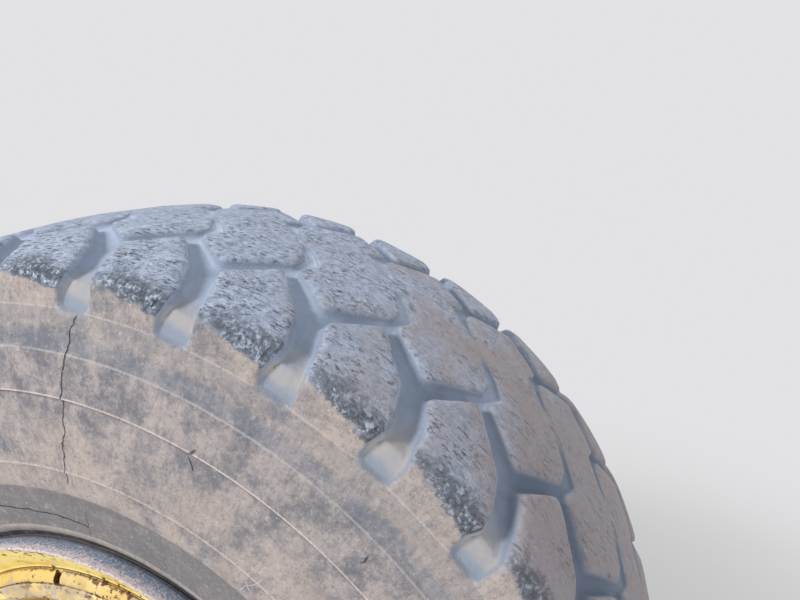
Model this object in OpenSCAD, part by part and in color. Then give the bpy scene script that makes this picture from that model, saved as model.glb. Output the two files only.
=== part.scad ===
// Drive wheel of an articulated dump truck on its axle end: a worn block-tread radial tyre on a
// five-piece rim, with the disc, the planetary hub and the disc brake behind it.
// The origin is the middle of the axle end's mounting face. The axle runs along Y and the wheel
// stands on the -Y side, its outer face towards -Y. +Z is up.

/* [Wheel place] */
// Distance from the mounting face to the middle plane of the wheel
wheel_offset = 330; // [315:1:420]

/* [Tyre] */
// Radius of the worn tread at the middle of the crown
tread_r = 800.5; // [790:0.5:820]
// How much lower the tread lies where the crown turns into the shoulder
crown_drop = 10.5; // [6:0.5:16]
// Half width of the crown
crown_half = 180; // [165:1:200]
// How much lower the shoulder's outer corner lies than the crown
shoulder_drop = 42.5; // [36:0.5:50]
// Half width across the shoulder's corners
shoulder_half = 262; // [250:1:266]
// How far below the crown the shoulder grooves run out on the sidewall
groove_end_drop = 82.5; // [72:0.5:100]
// Half width where they run out
groove_end_half = 267.7; // [267:0.1:275]
// Radius of the sidewall's bulge
sidewall_bulge_r = 600; // [500:10:800]
// Thickness of the sidewall
sidewall_t = 28; // [18:1:32]
// Thickness of the rubber and cords under the crown, tread included
crown_t = 58.5; // [50:0.5:66]
// How far above the flange's top the sidewall leaves the rim
bead_rise = 7; // [5:0.5:10]
// How far past the flange's inner face the sidewall leaves the rim
bead_lean = 16.3; // [14:0.1:20]
// Length of the bead's foot on its seat
bead_foot = 66; // [50:1:80]

/* [Tread] */
// Number of shoulder blocks on each side
lug_count = 33; // [24:1:40]
// Angle of the first block from straight up
lug_phase = -0.73; // [-5:0.01:5]
// Angle by which the far side's blocks lag the near side's
far_lag = 2.23; // [0:0.01:10]
// Depth of the grooves beside the middle blocks
zigzag_depth = 14; // [6:1:20]
// Depth of the grooves between the shoulder blocks
shoulder_groove_depth = 23; // [12:1:28]
// Half width of the unbroken band that wear has left in the middle
band_half = 52; // [40:1:60]
// How much lower the worn middle band lies than the blocks
band_wear = 0.8; // [0.2:0.1:3]

/* [Rim] */
// Radius of the bead seats at the flanges
seat_r = 317.5; // [317.5:0.5:330]
// Slope of the bead seats
seat_slope = 5; // [0:0.5:6]
// Half distance between the flanges' inner faces
flange_half = 247.5; // [240:0.5:252]
// Height of the flanges over the bead seat
flange_h = 63.5; // [60:0.5:66]
// Radius of the flange's curl
flange_curl = 26; // [22:1:36]
// Thickness of the flange's foot
flange_t = 12; // [9:0.5:14]
// Length of the lip past the top of the curl
flange_lip = 17.5; // [8:0.5:20]
// Width of the worn edge of the lip
lip_edge = 4; // [2:0.5:6]
// Thickness of the bead seat band at the flange, down to the barrel
band_t = 16.5; // [15:0.5:20]
// Length of the loose bead seat band
band_l = 120; // [100:1:122]
// Wall of the rim base's barrel
barrel_t = 12; // [10:0.5:14]
// Thickness of the rim's lip behind the back flange
back_lip_t = 11; // [8:0.5:14]
// Height of that lip over the seat
back_lip_h = 14; // [8:0.5:18]

/* [Lock ring] */
// How far the lock ring stands over the bead seat's radius
lock_over = 8.5; // [6:0.5:12]
// Height of the gutter's outer lip over the barrel
gutter_lip_h = 8; // [6:0.5:9]
// Width of the gutter that holds the ring
gutter_w = 16; // [12:0.5:18]
// How far the gutter reaches in past the flange's outer face
gutter_reach = 9.2; // [6:0.1:10]
// Depth of the gutter under the barrel's surface
gutter_depth = 5.3; // [4:0.1:7]
// Thickness of the ring's part that shows
lock_face_t = 11; // [8:0.5:14]
// Width of the lip that closes the gutter
gutter_lip_t = 7; // [5:0.5:10]
// Thickness that the rim gains inside under the gutter
gutter_back = 4; // [2:0.5:8]
// Width of the ring's split
lock_gap = 9; // [4:0.5:16]
// Angle of the split from straight up
lock_gap_at = -6.5; // [-180:0.5:180]

/* [Disc and studs] */
// Place of the disc's outer face, out from the middle plane
disc_face = 70; // [60:1:80]
// Thickness of the disc
disc_t = 20; // [14:1:24]
// Width of the disc's cone between its flat seat and the barrel
disc_cone_w = 31; // [28:1:34]
// How far the disc's rim stands out past its flat seat
disc_cone = 34; // [20:1:36]
// Number of wheel studs
stud_count = 16; // [10:2:20]
// Distance from the stud circle in to the disc's centre hole, and out to the hub flange's edge
stud_edge = 31; // [28:0.5:33]
// Radius of a stud
stud_r = 11; // [9:0.5:12]
// Width of a wheel nut across its corners
nut_w = 37; // [32:1:38]
// Height of a wheel nut
nut_h = 24; // [18:1:28]
// Length of thread past the nut
stud_tail = 12; // [6:1:20]
// Height of a stud's head
stud_head_h = 8; // [5:0.5:12]

/* [Hub] */
// Room between the disc's centre hole and the planet housing's flange
planet_room = 10; // [6:0.5:14]
// Room between the hub's flange and the barrel
hub_room = 27; // [24:1:32]
// Thickness of the hub's flange
hub_flange_t = 25; // [18:1:30]
// Length of the spigot that centres the disc
spigot_l = 12; // [8:1:18]
// Place of the drum's inner end, in from the middle plane
drum_back = 130; // [115:1:140]
// Length of each bearing seat in the drum
bearing_l = 60; // [40:1:70]
// How much wider the drum's bore is between its bearing seats
bore_relief = 8; // [4:1:12]
// Thickness of the planet housing's flange
planet_flange_t = 18; // [12:1:24]
// Step from the edge of that flange in to the barrel
planet_step = 38; // [35:1:44]
// Length of the planet housing
planet_l = 104; // [96:1:120]
// Wall of the planet housing
planet_wall = 16; // [12:1:18]
// Number of the planet housing's bolts
planet_bolt_count = 16; // [8:2:20]
// Radius of a planet housing bolt
planet_bolt_r = 6; // [5:0.5:7]
// Distance of those bolts from the flange's edge
planet_bolt_edge = 17; // [14:0.5:20]
// Step from the planet housing's barrel in to the end cover's edge
cover_step = 56; // [50:1:60]
// Thickness of the end cover
cover_t = 14; // [10:1:20]
// Number of the end cover's bolts
cover_bolt_count = 8; // [4:1:10]
// Distance of those bolts from the cover's edge
cover_bolt_edge = 16; // [14:0.5:18]
// Radius of such a bolt
cover_bolt_r = 5; // [4:0.5:6]
// Step from the end cover's edge in to its round boss
cover_boss_step = 54; // [52:1:60]
// Height of that boss
cover_boss_h = 10; // [6:1:16]
// Radius of an oil plug's thread
plug_r = 7; // [5:0.5:8]
// Angle of the first oil plug from straight up
plug_angle = 22; // [0:1:45]

/* [Axle end] */
// Outer radius of the mounting flange
axle_flange_r = 190; // [186:1:210]
// Thickness of the mounting flange
axle_flange_t = 30; // [20:1:36]
// Number of holes in the mounting flange
axle_holes = 16; // [8:2:24]
// Radius of the circle of those holes
axle_hole_circle_r = 165; // [158:0.5:172]
// Radius of one hole
axle_hole_r = 11; // [8:0.5:13]
// Radius of the recess that centres the axle beam
pilot_r = 60; // [50:0.5:70]
// Depth of that recess
pilot_l = 12; // [8:1:18]
// Radius of the axle end's neck
neck_r = 105; // [103:1:110]
// How much wider the neck is behind the caliper bracket
neck_shoulder = 15; // [10:1:20]
// Radius of the inner bearing seat
inner_seat_r = 95; // [88:1:98]
// Radius of the outer bearing seat
outer_seat_r = 80; // [72:1:84]
// Radius of the hole for the drive shaft
shaft_hole_r = 38; // [30:1:45]

/* [Brake] */
// Room between the calipers and the barrel
caliper_room = 9; // [6:0.5:12]
// Thickness of the caliper's bridge over the disc
caliper_bridge_t = 36; // [30:1:40]
// Room between the brake disc's edge and the bridge
disc_edge_room = 8; // [6:0.5:12]
// Width of the brake disc's rubbed ring
rubbed_w = 50; // [42:1:52]
// Thickness of the brake disc
brake_disc_t = 20; // [14:1:24]
// Number of the brake disc's bolts
brake_bolt_count = 12; // [6:1:16]
// Radius of a brake disc bolt
brake_bolt_r = 6; // [5:0.5:7]
// Room between the calipers and the hub's drum
drum_room = 14; // [10:0.5:18]
// Half of the angle that a caliper spans
caliper_span = 24; // [20:1:28]
// Thickness of a brake pad with its backing plate
pad_t = 17; // [12:1:20]
// Thickness of a caliper's two halves beside the pads
caliper_wall = 38; // [32:1:40]
// Thickness of the caliper bracket
bracket_t = 16; // [12:1:20]
// Radius of a caliper bolt
caliper_bolt_r = 9; // [7:0.5:10]
// Radius of the brake pipe
pipe_r = 4; // [3:0.5:5]

/* [Valve] */
// Place of the valve, out from the middle plane
valve_at = 122; // [120:1:124]
// Angle of the valve from straight up
valve_angle = 52; // [0:1:360]
// Radius of the valve's tube
valve_r = 6; // [4:0.5:7]
// How far the valve's tip lies behind the rim's front
valve_back = 60; // [50:1:70]
// Length of the valve's cap
valve_cap_l = 22; // [16:1:28]

/* [Fits] */
// Gap between pieces that seat on each other along a curve
seat_gap = 0.3; // [0.2:0.05:0.6]
// Radial clearance of the running bearing seats
running_gap = 0.05; // [0.02:0.01:0.09]
// Axial gap between the neck and the hub's seal
seal_gap = 5; // [5:0.5:8]
// Clearance between a brake pad and its disc
pad_gap = 0.8; // [0.4:0.1:1.5]
// Radial clearance of a bolt or stud in its hole
bolt_gap = 1; // [0.4:0.1:1.5]

/* [Hidden] */

round_fn = 96;
bolt_fn = 32;
steel = "silver";
paint = "gold";
worn_paint = "goldenrod";
rubber = "dimgray";
iron = "sienna";

// Radii of the rim, from the bead seat in to the barrel
flange_top_r = seat_r + flange_h;
curl_r = flange_top_r - flange_curl;
barrel_r = seat_r - band_t;
barrel_in_r = barrel_r - barrel_t;
gutter_floor_r = barrel_r - gutter_depth;
gutter_lip_r = barrel_r + gutter_lip_h;
driver_r = gutter_lip_r + 3;
lock_r = seat_r + lock_over;
// Places along the axle, out from the middle plane
curl_v = flange_half + flange_curl;
flange_back = flange_half + flange_t;
gutter_in = flange_back - gutter_reach;
gutter_out = gutter_in + gutter_w;
rim_front = gutter_out + gutter_lip_t;
rim_back = flange_back + seat_gap + back_lip_t;
driver_end = flange_back - (driver_r - barrel_r);
// Disc, hub and brake, from the barrel inwards
hub_flange_r = barrel_in_r - hub_room;
disc_flat_r = barrel_in_r - disc_cone_w;
stud_circle_r = hub_flange_r - stud_edge;
disc_hole_r = stud_circle_r - stud_edge;
planet_flange_r = disc_hole_r - planet_room;
planet_r = planet_flange_r - planet_step;
planet_bolt_circle_r = planet_flange_r - planet_bolt_edge;
cover_r = planet_r - cover_step;
cover_bolt_circle_r = cover_r - cover_bolt_edge;
cover_boss_r = cover_r - cover_boss_step;
plug_circle_r = (cover_boss_r + cover_bolt_circle_r) / 2;
disc_back = disc_face - disc_t;
hub_back = disc_back - hub_flange_t;
hub_front = disc_back + spigot_l;
cover_at = hub_front + planet_l;
cover_front = cover_at + cover_t;
caliper_r = barrel_in_r - caliper_room;
caliper_bridge_r = caliper_r - caliper_bridge_t;
brake_disc_r = caliper_bridge_r - disc_edge_room;
caliper_in_r = brake_disc_r - rubbed_w;
drum_r = caliper_in_r - drum_room;
brake_disc_hole_r = neck_r + neck_shoulder;
brake_bolt_circle_r = (brake_disc_hole_r + drum_r) / 2 - 1;
brake_disc_back = drum_back + brake_disc_t;
pad_front = drum_back - pad_gap - pad_t;
pad_back = brake_disc_back + pad_gap + pad_t;
caliper_back = pad_back + caliper_wall;
bracket_back = caliper_back + bracket_t;
caliper_bolt_circle_r = (caliper_in_r + caliper_bridge_r) / 2;
caliper_port_r = caliper_r - caliper_bridge_t / 2;
bracket_r = caliper_bolt_circle_r + 3 * caliper_bolt_r + 3;

// Puts a piece that is drawn about Z, with its outer end up, onto the axle
module on_axle() { translate([0, -wheel_offset, 0]) rotate([90, 0, 0]) children(); }

// Turns a piece that is drawn at the top to an angle, clockwise from straight up
module at_angle(angle) { rotate([0, 0, -angle]) children(); }

// A ring from an outline of [radius, place along the axle]
module ring(outline) { rotate_extrude($fn = round_fn) polygon(outline); }

// A plain bush between two places along the axle
module bush(out_r, in_r, from, to) {
    ring([[in_r, from], [out_r, from], [out_r, to], [in_r, to]]);
}

// A bolt or pin along the axle
module pin(r, from, to, fn = bolt_fn) { translate([0, 0, from]) cylinder(r = r, h = to - from, $fn = fn); }

// Copies a piece at the top around the axle
module around(count, circle_r, phase = 0) {
    for (k = [0:count - 1]) at_angle(phase + k * 360 / count) translate([0, circle_r, 0]) children();
}

// Points of an arc in [radius, place], between two angles
function arc_points(c, r, from, to, n) =
    [for (i = [0:n]) let (a = from + (to - from) * i / n) [c[0] + r * cos(a), c[1] + r * sin(a)]];
function mirrored(points) = [for (i = [len(points) - 1:-1:0]) [points[i][0], -points[i][1]]];
// Middle of the circle of a radius that passes through two points, on the side nearer the wheel's middle
function circle_through(p, q, r) = let (d = norm(q - p), m = (p + q) / 2, t = (q - p) / d)
    m + sqrt(r * r - d * d / 4) * [t[1], -t[0]] * sign(t[0]);
function angle_from(c, p) = atan2(p[1] - c[1], p[0] - c[0]);
function seat_at(v) = seat_r - (flange_half - v) * tan(seat_slope);

// Tyre, as points of [radius, place along the axle]
lug_pitch = 360 / lug_count;
crown_edge = [tread_r - crown_drop, crown_half];
shoulder_mid = [tread_r - (crown_drop + shoulder_drop) / 2 + 3, (crown_half + shoulder_half) / 2 + 5];
shoulder_edge = [tread_r - shoulder_drop, shoulder_half];
groove_end = [tread_r - groove_end_drop, groove_end_half];
bead_out = [flange_top_r + bead_rise, flange_half + bead_lean];
crown_third = [tread_r - crown_drop * 0.31, crown_half * 0.56];
bulge_c = circle_through(groove_end, bead_out, sidewall_bulge_r);

floor_points = [
    [tread_r - band_wear, 0],
    [tread_r - band_wear - 1, band_half - 4],
    [tread_r - zigzag_depth - 1.5, band_half],
    crown_third - [zigzag_depth, 0],
    crown_edge - [shoulder_groove_depth - 4, 12],
    shoulder_mid - [shoulder_groove_depth, 10],
    [groove_end[0] + 12, shoulder_half - 16]
];
bead_step = 40 / 6;
bead_points = concat(
    arc_points([curl_r, curl_v], (flange_curl + seat_gap) / cos(bead_step), -50, -90, 3),
    [[seat_at(flange_half) + 7, flange_half - seat_gap],
     [seat_at(flange_half - 7) + seat_gap, flange_half - 7],
     [seat_at(flange_half - bead_foot) + seat_gap, flange_half - bead_foot],
     [seat_at(flange_half - bead_foot) + 12, flange_half - bead_foot - 2]]
);

module carcass() {
    top = angle_from(bulge_c, groove_end);
    foot = angle_from(bulge_c, bead_out);
    side = arc_points(bulge_c, sidewall_bulge_r, top, foot, 8);
    liner = arc_points(bulge_c, sidewall_bulge_r - sidewall_t, foot - 1.2, top + 0.8, 5);
    half = concat(floor_points, side, bead_points, liner,
        [[tread_r - crown_t - 4, crown_half - 60], [tread_r - crown_t, 0]]);
    ring(concat(half, mirrored([for (i = [1:len(half) - 2]) half[i]])));
}

// Outline of the rubber between the tread's surface and the bottom of its grooves
module tread_section() {
    polygon([
        [tread_r, 0], crown_third, crown_edge, shoulder_mid, shoulder_edge, groove_end - [4, 0.9],
        [groove_end[0] - 2, shoulder_half - 30], shoulder_mid - [40, 30], crown_edge - [28, 20],
        [tread_r - 30, 0]
    ]);
}

// Block outlines in [place around the tread, place across it], for 33 blocks of this tread's width
shoulder_block = [[-46, 300], [-57, 222], [-76, 180], [-24, 118], [39, 196], [54, 241], [53, 300]];
middle_block = [[-9, 100], [56, 156], [124, 97], [128, 62], [96, 34], [-22, 34], [4, 66]];
outline_pitch = 152.4;
outline_half = 180;

// A block of the tread, its sides straight down to the carcass
module block(outline) {
    reach = 1.1 * lug_pitch;
    along = 2 * PI * tread_r / lug_count / outline_pitch;
    across = crown_half / outline_half;
    points = [for (p = outline) [p[0] * along, p[1] * across]];
    intersection() {
        rotate([0, 0, 90 - reach]) rotate_extrude(angle = 2 * reach, $fn = round_fn) tread_section();
        rotate([90, 0, 0]) translate([0, 0, -tread_r - 10])
            linear_extrude(groove_end_drop + 40) polygon(points);
    }
}

module tyre() {
    color(rubber) on_axle() union() {
        carcass();
        for (k = [0:lug_count - 1], far = [0, 1])
            at_angle(lug_phase + k * lug_pitch + far * far_lag) rotate([0, 180 * far, 0]) {
                block(shoulder_block);
                block(middle_block);
            }
    }
}

// Rim
module flange_section() {
    ring(concat(
        [[seat_r + seat_gap, flange_half], [curl_r, flange_half]],
        arc_points([curl_r, curl_v], flange_curl, -75, 0, 5),
        [[flange_top_r, curl_v + flange_lip], [flange_top_r - lip_edge, curl_v + flange_lip],
         [lock_r + 5, flange_back], [seat_r + seat_gap, flange_back]]
    ));
}

module front_flange() { color(paint) on_axle() flange_section(); }

module back_flange() { color(worn_paint) on_axle() rotate([180, 0, 0]) flange_section(); }

module bead_seat_band() {
    back = flange_back - band_l;
    color(paint) on_axle() ring([
        [barrel_r + seat_gap, back], [seat_at(back), back], [seat_r, flange_half], [seat_r, flange_back],
        [driver_r, flange_back], [barrel_r + seat_gap, driver_end - seat_gap]
    ]);
}

// The split ring sits in the gutter and wedges the band outwards
module lock_ring() {
    floor_r = gutter_floor_r + seat_gap;
    face = flange_back + seat_gap;
    inner = gutter_lip_r + seat_gap;
    color(paint) on_axle() difference() {
        ring([
            [floor_r, gutter_in + seat_gap],
            [barrel_r + gutter_in - driver_end - seat_gap, gutter_in + seat_gap],
            [driver_r - seat_gap, face], [lock_r, face], [lock_r - 1, face + lock_face_t * 0.3],
            [lock_r - 7, face + lock_face_t * 0.8], [inner + 5, face + lock_face_t],
            [inner, face + lock_face_t], [inner, gutter_out - seat_gap], [floor_r, gutter_out - seat_gap]
        ]);
        at_angle(lock_gap_at) translate([-lock_gap / 2, gutter_floor_r - 10, gutter_in - 10])
            cube([lock_gap, lock_r - gutter_floor_r + 30, gutter_w + lock_face_t + 30]);
    }
}

module rim_base() {
    slope_end = flange_half - bead_foot - 20;
    gutter_in_r = barrel_in_r - gutter_back;
    color(paint) on_axle() difference() {
        ring([
            [barrel_in_r, -rim_back], [seat_r + back_lip_h, -rim_back],
            [seat_r + back_lip_h, -flange_back - seat_gap], [seat_r, -flange_back - seat_gap],
            [seat_r, -flange_half], [seat_at(slope_end), -slope_end], [barrel_r, -slope_end + 25],
            [barrel_r, gutter_in], [gutter_floor_r, gutter_in], [gutter_floor_r, gutter_out],
            [gutter_lip_r, gutter_out], [gutter_lip_r, rim_front - 3], [gutter_lip_r - 3, rim_front],
            [gutter_in_r, rim_front], [gutter_in_r, gutter_in - 12], [barrel_in_r, gutter_in - 24]
        ]);
        at_angle(valve_angle) translate([0, 0, valve_at]) rotate([-90, 0, 0])
            cylinder(r = valve_r + 2 + bolt_gap, h = barrel_r + 20, $fn = bolt_fn);
    }
}

module wheel_disc() {
    edge_r = barrel_in_r - seat_gap;
    color(worn_paint) on_axle() difference() {
        ring([
            [disc_hole_r, disc_back], [disc_flat_r, disc_back], [edge_r, disc_back + disc_cone],
            [edge_r, disc_face + disc_cone], [disc_flat_r - 4, disc_face], [disc_hole_r, disc_face]
        ]);
        around(stud_count, stud_circle_r) pin(stud_r + bolt_gap, disc_back - 5, disc_face + 5);
    }
}

module wheel_studs() {
    color(steel) on_axle() around(stud_count, stud_circle_r) {
        pin(stud_r, hub_back, disc_face + nut_h + stud_tail);
        pin(stud_r + 5, hub_back - stud_head_h, hub_back);
    }
}

module wheel_nuts() {
    collar_t = nut_h / 5;
    color(steel) on_axle() around(stud_count, stud_circle_r) difference() {
        union() {
            pin(nut_w / 2 + 2, disc_face, disc_face + collar_t);
            pin(nut_w / 2, disc_face, disc_face + nut_h, 6);
        }
        pin(stud_r + seat_gap / 2, disc_face - 1, disc_face + nut_h + 1);
    }
}

// Hub
module hub_drum() {
    front_seat = outer_seat_r + running_gap;
    back_seat = inner_seat_r + running_gap;
    spigot_r = disc_hole_r - bolt_gap;
    web = hub_flange_r - drum_r;
    color(worn_paint) on_axle() difference() {
        ring([
            [back_seat, -drum_back], [drum_r - 6, -drum_back], [drum_r, -drum_back + 40],
            [drum_r, hub_back - 20], [drum_r + web * 0.3, hub_back], [hub_flange_r, hub_back],
            [hub_flange_r, disc_back], [spigot_r, disc_back], [spigot_r, hub_front],
            [front_seat, hub_front], [front_seat, hub_front - bearing_l],
            [back_seat + bore_relief, hub_front - bearing_l],
            [back_seat + bore_relief, bearing_l - drum_back], [back_seat, bearing_l - drum_back]
        ]);
        around(stud_count, stud_circle_r) pin(stud_r + seat_gap / 2, hub_back - 5, disc_back + 5);
    }
}

module planet_housing() {
    inner_r = planet_r - planet_wall;
    mouth_r = cover_r - 30;
    color(worn_paint) on_axle() difference() {
        ring([
            [planet_flange_r, hub_front], [planet_flange_r, hub_front + planet_flange_t],
            [planet_r + 6, hub_front + planet_flange_t], [planet_r, hub_front + planet_flange_t + 10],
            [planet_r - 4, cover_at - 22], [planet_r - 26, cover_at], [mouth_r, cover_at],
            [mouth_r, cover_at - planet_wall], [inner_r - 18, cover_at - planet_wall],
            [inner_r, cover_at - planet_wall - 18], [inner_r, hub_front]
        ]);
        around(planet_bolt_count, planet_bolt_circle_r)
            pin(planet_bolt_r + bolt_gap, hub_front - 1, hub_front + planet_flange_t + 1);
    }
}

module planet_gears() {
    color(steel) on_axle() bush(planet_r - planet_wall - 12, shaft_hole_r + 4, hub_front + seat_gap,
        cover_at - planet_wall - 24);
}

// A hexagon head bolt that seats on a face, its head sized in radii of the shank
module head_bolt(r, face, depth, head = 1.7) {
    pin(r, face - depth, face + r / 3);
    pin(head * r + 1.5, face, face + r / 3);
    pin(head * r, face, face + 1.7 * r, 6);
}

module planet_bolts() {
    color(steel) on_axle() around(planet_bolt_count, planet_bolt_circle_r)
        head_bolt(planet_bolt_r, hub_front + planet_flange_t, planet_flange_t);
}

module end_cover() {
    color(worn_paint) on_axle() difference() {
        ring([
            [0, cover_at], [cover_r, cover_at], [cover_r, cover_front - 4], [cover_r - 4, cover_front],
            [cover_boss_r, cover_front], [cover_boss_r - 4, cover_front + cover_boss_h],
            [0, cover_front + cover_boss_h]
        ]);
        around(cover_bolt_count, cover_bolt_circle_r)
            pin(cover_bolt_r + bolt_gap, cover_at - 1, cover_front + 1);
        around(2, plug_circle_r, plug_angle) pin(plug_r + bolt_gap, cover_at - 1, cover_front + 1);
    }
}

module cover_bolts() {
    color(steel) on_axle() around(cover_bolt_count, cover_bolt_circle_r)
        head_bolt(cover_bolt_r, cover_front, cover_t);
}

module oil_plugs() {
    color(steel) on_axle() around(2, plug_circle_r, plug_angle) head_bolt(plug_r, cover_front, cover_t, 1.2);
}

// Brake
module brake_disc() {
    color(iron) on_axle() difference() {
        bush(brake_disc_r, brake_disc_hole_r, -brake_disc_back, -drum_back);
        around(brake_bolt_count, brake_bolt_circle_r)
            pin(brake_bolt_r + bolt_gap, -brake_disc_back - 1, -drum_back + 1);
    }
}

module brake_disc_bolts() {
    color(steel) on_axle() rotate([180, 0, 0]) around(brake_bolt_count, brake_bolt_circle_r, 180)
        head_bolt(brake_bolt_r, brake_disc_back, brake_disc_t);
}

// A sector of a bush, in the middle of which lies the angle given
module sector(out_r, in_r, from, to, angle, span) {
    reach = 2 * out_r;
    translate([0, 0, from]) intersection() {
        difference() {
            cylinder(r = out_r, h = to - from, $fn = round_fn);
            translate([0, 0, -1]) cylinder(r = in_r, h = to - from + 2, $fn = round_fn);
        }
        at_angle(angle) translate([0, 0, -1]) linear_extrude(to - from + 2)
            polygon([[0, 0], reach * [-sin(span), cos(span)], reach * [sin(span), cos(span)]]);
    }
}

module caliper(angle) {
    front = -pad_front + caliper_wall - 6;
    color(iron) on_axle() difference() {
        sector(caliper_r, caliper_in_r, -caliper_back, front, angle, caliper_span);
        sector(caliper_bridge_r, caliper_in_r - 5, -pad_back - seat_gap, -pad_front + seat_gap, angle,
            caliper_span + 10);
    }
}

module front_caliper() { caliper(90); }

module rear_caliper() { caliper(-90); }

module brake_pads() {
    out_r = brake_disc_r - 3;
    in_r = caliper_in_r + 4;
    color(steel) on_axle() for (angle = [90, -90]) {
        sector(out_r, in_r, -pad_back, -brake_disc_back - pad_gap, angle, caliper_span - 6);
        sector(out_r, in_r, -drum_back + pad_gap, -pad_front, angle, caliper_span - 6);
    }
}

module at_caliper_bolts() {
    for (angle = [90, -90], side = [-1, 1])
        at_angle(angle + side * (caliper_span - 8)) translate([0, caliper_bolt_circle_r, 0]) children();
}

module caliper_bracket() {
    half_h = caliper_r * sin(caliper_span) + 6;
    color(iron) on_axle() difference() {
        intersection() {
            bush(bracket_r, neck_r + seat_gap, -bracket_back, -caliper_back);
            translate([-bracket_r, -half_h, -bracket_back - 1])
                cube([2 * bracket_r, 2 * half_h, bracket_t + 2]);
        }
        at_caliper_bolts() pin(caliper_bolt_r + bolt_gap, -bracket_back - 1, -caliper_back + 1);
    }
}

module caliper_bolts() {
    color(steel) on_axle() at_caliper_bolts()
        rotate([180, 0, 0]) head_bolt(caliper_bolt_r, bracket_back, bracket_t, 1.55);
}

module bleed_screws() {
    color(steel) on_axle() for (angle = [90, -90])
        at_angle(angle + sign(angle) * (caliper_span - 5)) translate([0, caliper_port_r, 0])
            rotate([180, 0, 0]) {
                pin(4, caliper_back, caliper_back + 18);
                pin(6.5, caliper_back, caliper_back + 9, 6);
            }
}

// A pipe over the neck from one caliper to the other
module brake_pipe() {
    at = caliper_back + 14;
    reach = 95 - caliper_span;
    color(steel) on_axle() {
        rotate([0, 0, 90 - reach]) translate([0, 0, -at])
            rotate_extrude(angle = 2 * reach, $fn = round_fn) translate([caliper_port_r, 0])
                circle(r = pipe_r, $fn = bolt_fn);
        for (side = [-1, 1]) at_angle(side * reach) translate([0, caliper_port_r, 0])
            pin(pipe_r + 3, -at - pipe_r, -caliper_back);
    }
}

// Axle end
module axle_end() {
    face = wheel_offset;
    shoulder_r = neck_r + neck_shoulder;
    neck_end = -drum_back - seal_gap;
    color(iron) on_axle() difference() {
        ring([
            [pilot_r, -face], [axle_flange_r, -face], [axle_flange_r, axle_flange_t - face],
            [shoulder_r + 10, axle_flange_t - face], [shoulder_r, -bracket_back - 10],
            [shoulder_r, -bracket_back], [neck_r, -bracket_back], [neck_r, neck_end],
            [inner_seat_r, neck_end], [inner_seat_r, bearing_l - drum_back], [outer_seat_r, hub_front - bearing_l],
            [outer_seat_r, hub_front - 4], [shaft_hole_r, hub_front - 4],
            [shaft_hole_r, pilot_l - face], [pilot_r, pilot_l - face]
        ]);
        around(axle_holes, axle_hole_circle_r) pin(axle_hole_r, -face - 1, axle_flange_t - face + 1);
    }
}

// Valve
module valve_stem() {
    stem_r = barrel_in_r - 20;
    color(steel) on_axle() at_angle(valve_angle) {
        translate([0, 0, valve_at]) rotate([-90, 0, 0]) {
            translate([0, 0, stem_r + 6]) cylinder(r = valve_r + 2, h = barrel_r - stem_r - 6, $fn = bolt_fn);
            translate([0, 0, stem_r + 11]) cylinder(r = valve_r + 7, h = 8.5, $fn = 6);
        }
        translate([0, stem_r, valve_at]) sphere(r = valve_r + 3, $fn = bolt_fn);
        translate([0, stem_r, 0]) pin(valve_r, valve_at, rim_front - valve_back);
    }
}

module valve_cap() {
    tip = rim_front - valve_back;
    color("black") on_axle() at_angle(valve_angle) translate([0, barrel_in_r - 20, 0])
        pin(valve_r + 2, tip, tip + valve_cap_l);
}

tyre();
rim_base();
back_flange();
front_flange();
bead_seat_band();
lock_ring();
wheel_disc();
wheel_studs();
wheel_nuts();
hub_drum();
planet_housing();
planet_gears();
planet_bolts();
end_cover();
cover_bolts();
oil_plugs();
brake_disc();
brake_disc_bolts();
valve_stem();
valve_cap();
axle_end();
caliper_bracket();
front_caliper();
rear_caliper();
brake_pads();
caliper_bolts();
brake_pipe();
bleed_screws();
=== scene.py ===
"""Dresses a dump truck's drive wheel and the axle end that carries it.

Sizes in the classes are millimetres. A place along the axle is measured outwards from the
wheel's middle plane, and angles run clockwise from straight up, seen from the outer side.
"""
import functools
import logging
import math
from dataclasses import dataclass, field
from enum import Enum
from typing import Any, Callable, Iterable, Sequence

import bmesh
import bpy
import numpy as np
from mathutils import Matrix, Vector, noise
from mathutils.geometry import delaunay_2d_cdt


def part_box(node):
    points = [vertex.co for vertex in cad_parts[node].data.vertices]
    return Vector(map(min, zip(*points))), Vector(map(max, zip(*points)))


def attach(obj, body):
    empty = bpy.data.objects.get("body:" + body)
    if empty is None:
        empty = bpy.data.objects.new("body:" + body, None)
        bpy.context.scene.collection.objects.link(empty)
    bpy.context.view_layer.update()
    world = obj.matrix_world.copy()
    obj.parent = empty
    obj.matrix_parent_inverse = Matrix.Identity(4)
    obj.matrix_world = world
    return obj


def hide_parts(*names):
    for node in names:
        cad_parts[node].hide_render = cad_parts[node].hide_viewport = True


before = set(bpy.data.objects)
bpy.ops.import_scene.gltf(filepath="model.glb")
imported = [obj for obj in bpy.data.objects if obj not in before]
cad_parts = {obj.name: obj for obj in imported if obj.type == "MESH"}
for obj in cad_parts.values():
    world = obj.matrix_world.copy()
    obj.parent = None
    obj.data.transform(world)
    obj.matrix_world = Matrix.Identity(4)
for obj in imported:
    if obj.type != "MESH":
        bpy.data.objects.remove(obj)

log = logging.getLogger("wheel")
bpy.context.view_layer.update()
MM = 0.001
WHEEL_OFFSET = 330.0
TYRE_R = 799.6

Colour = tuple[float, float, float, float]
Corner = tuple[float, float, float]
Pair = tuple[float, float]
Socket = bpy.types.NodeSocket
Node = bpy.types.Node
NodeTree = bpy.types.NodeTree
Mesh = bpy.types.Mesh
BMesh = bmesh.types.BMesh
Array = np.ndarray
Wired = dict[str, Socket]
# A fastener's ring of points and how worn it is
Ring = tuple[list[Corner], float]


class Body(Enum):
    """The two bodies that pieces ride on."""

    WHEEL = "wheel"
    AXLE = "axle"


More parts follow.
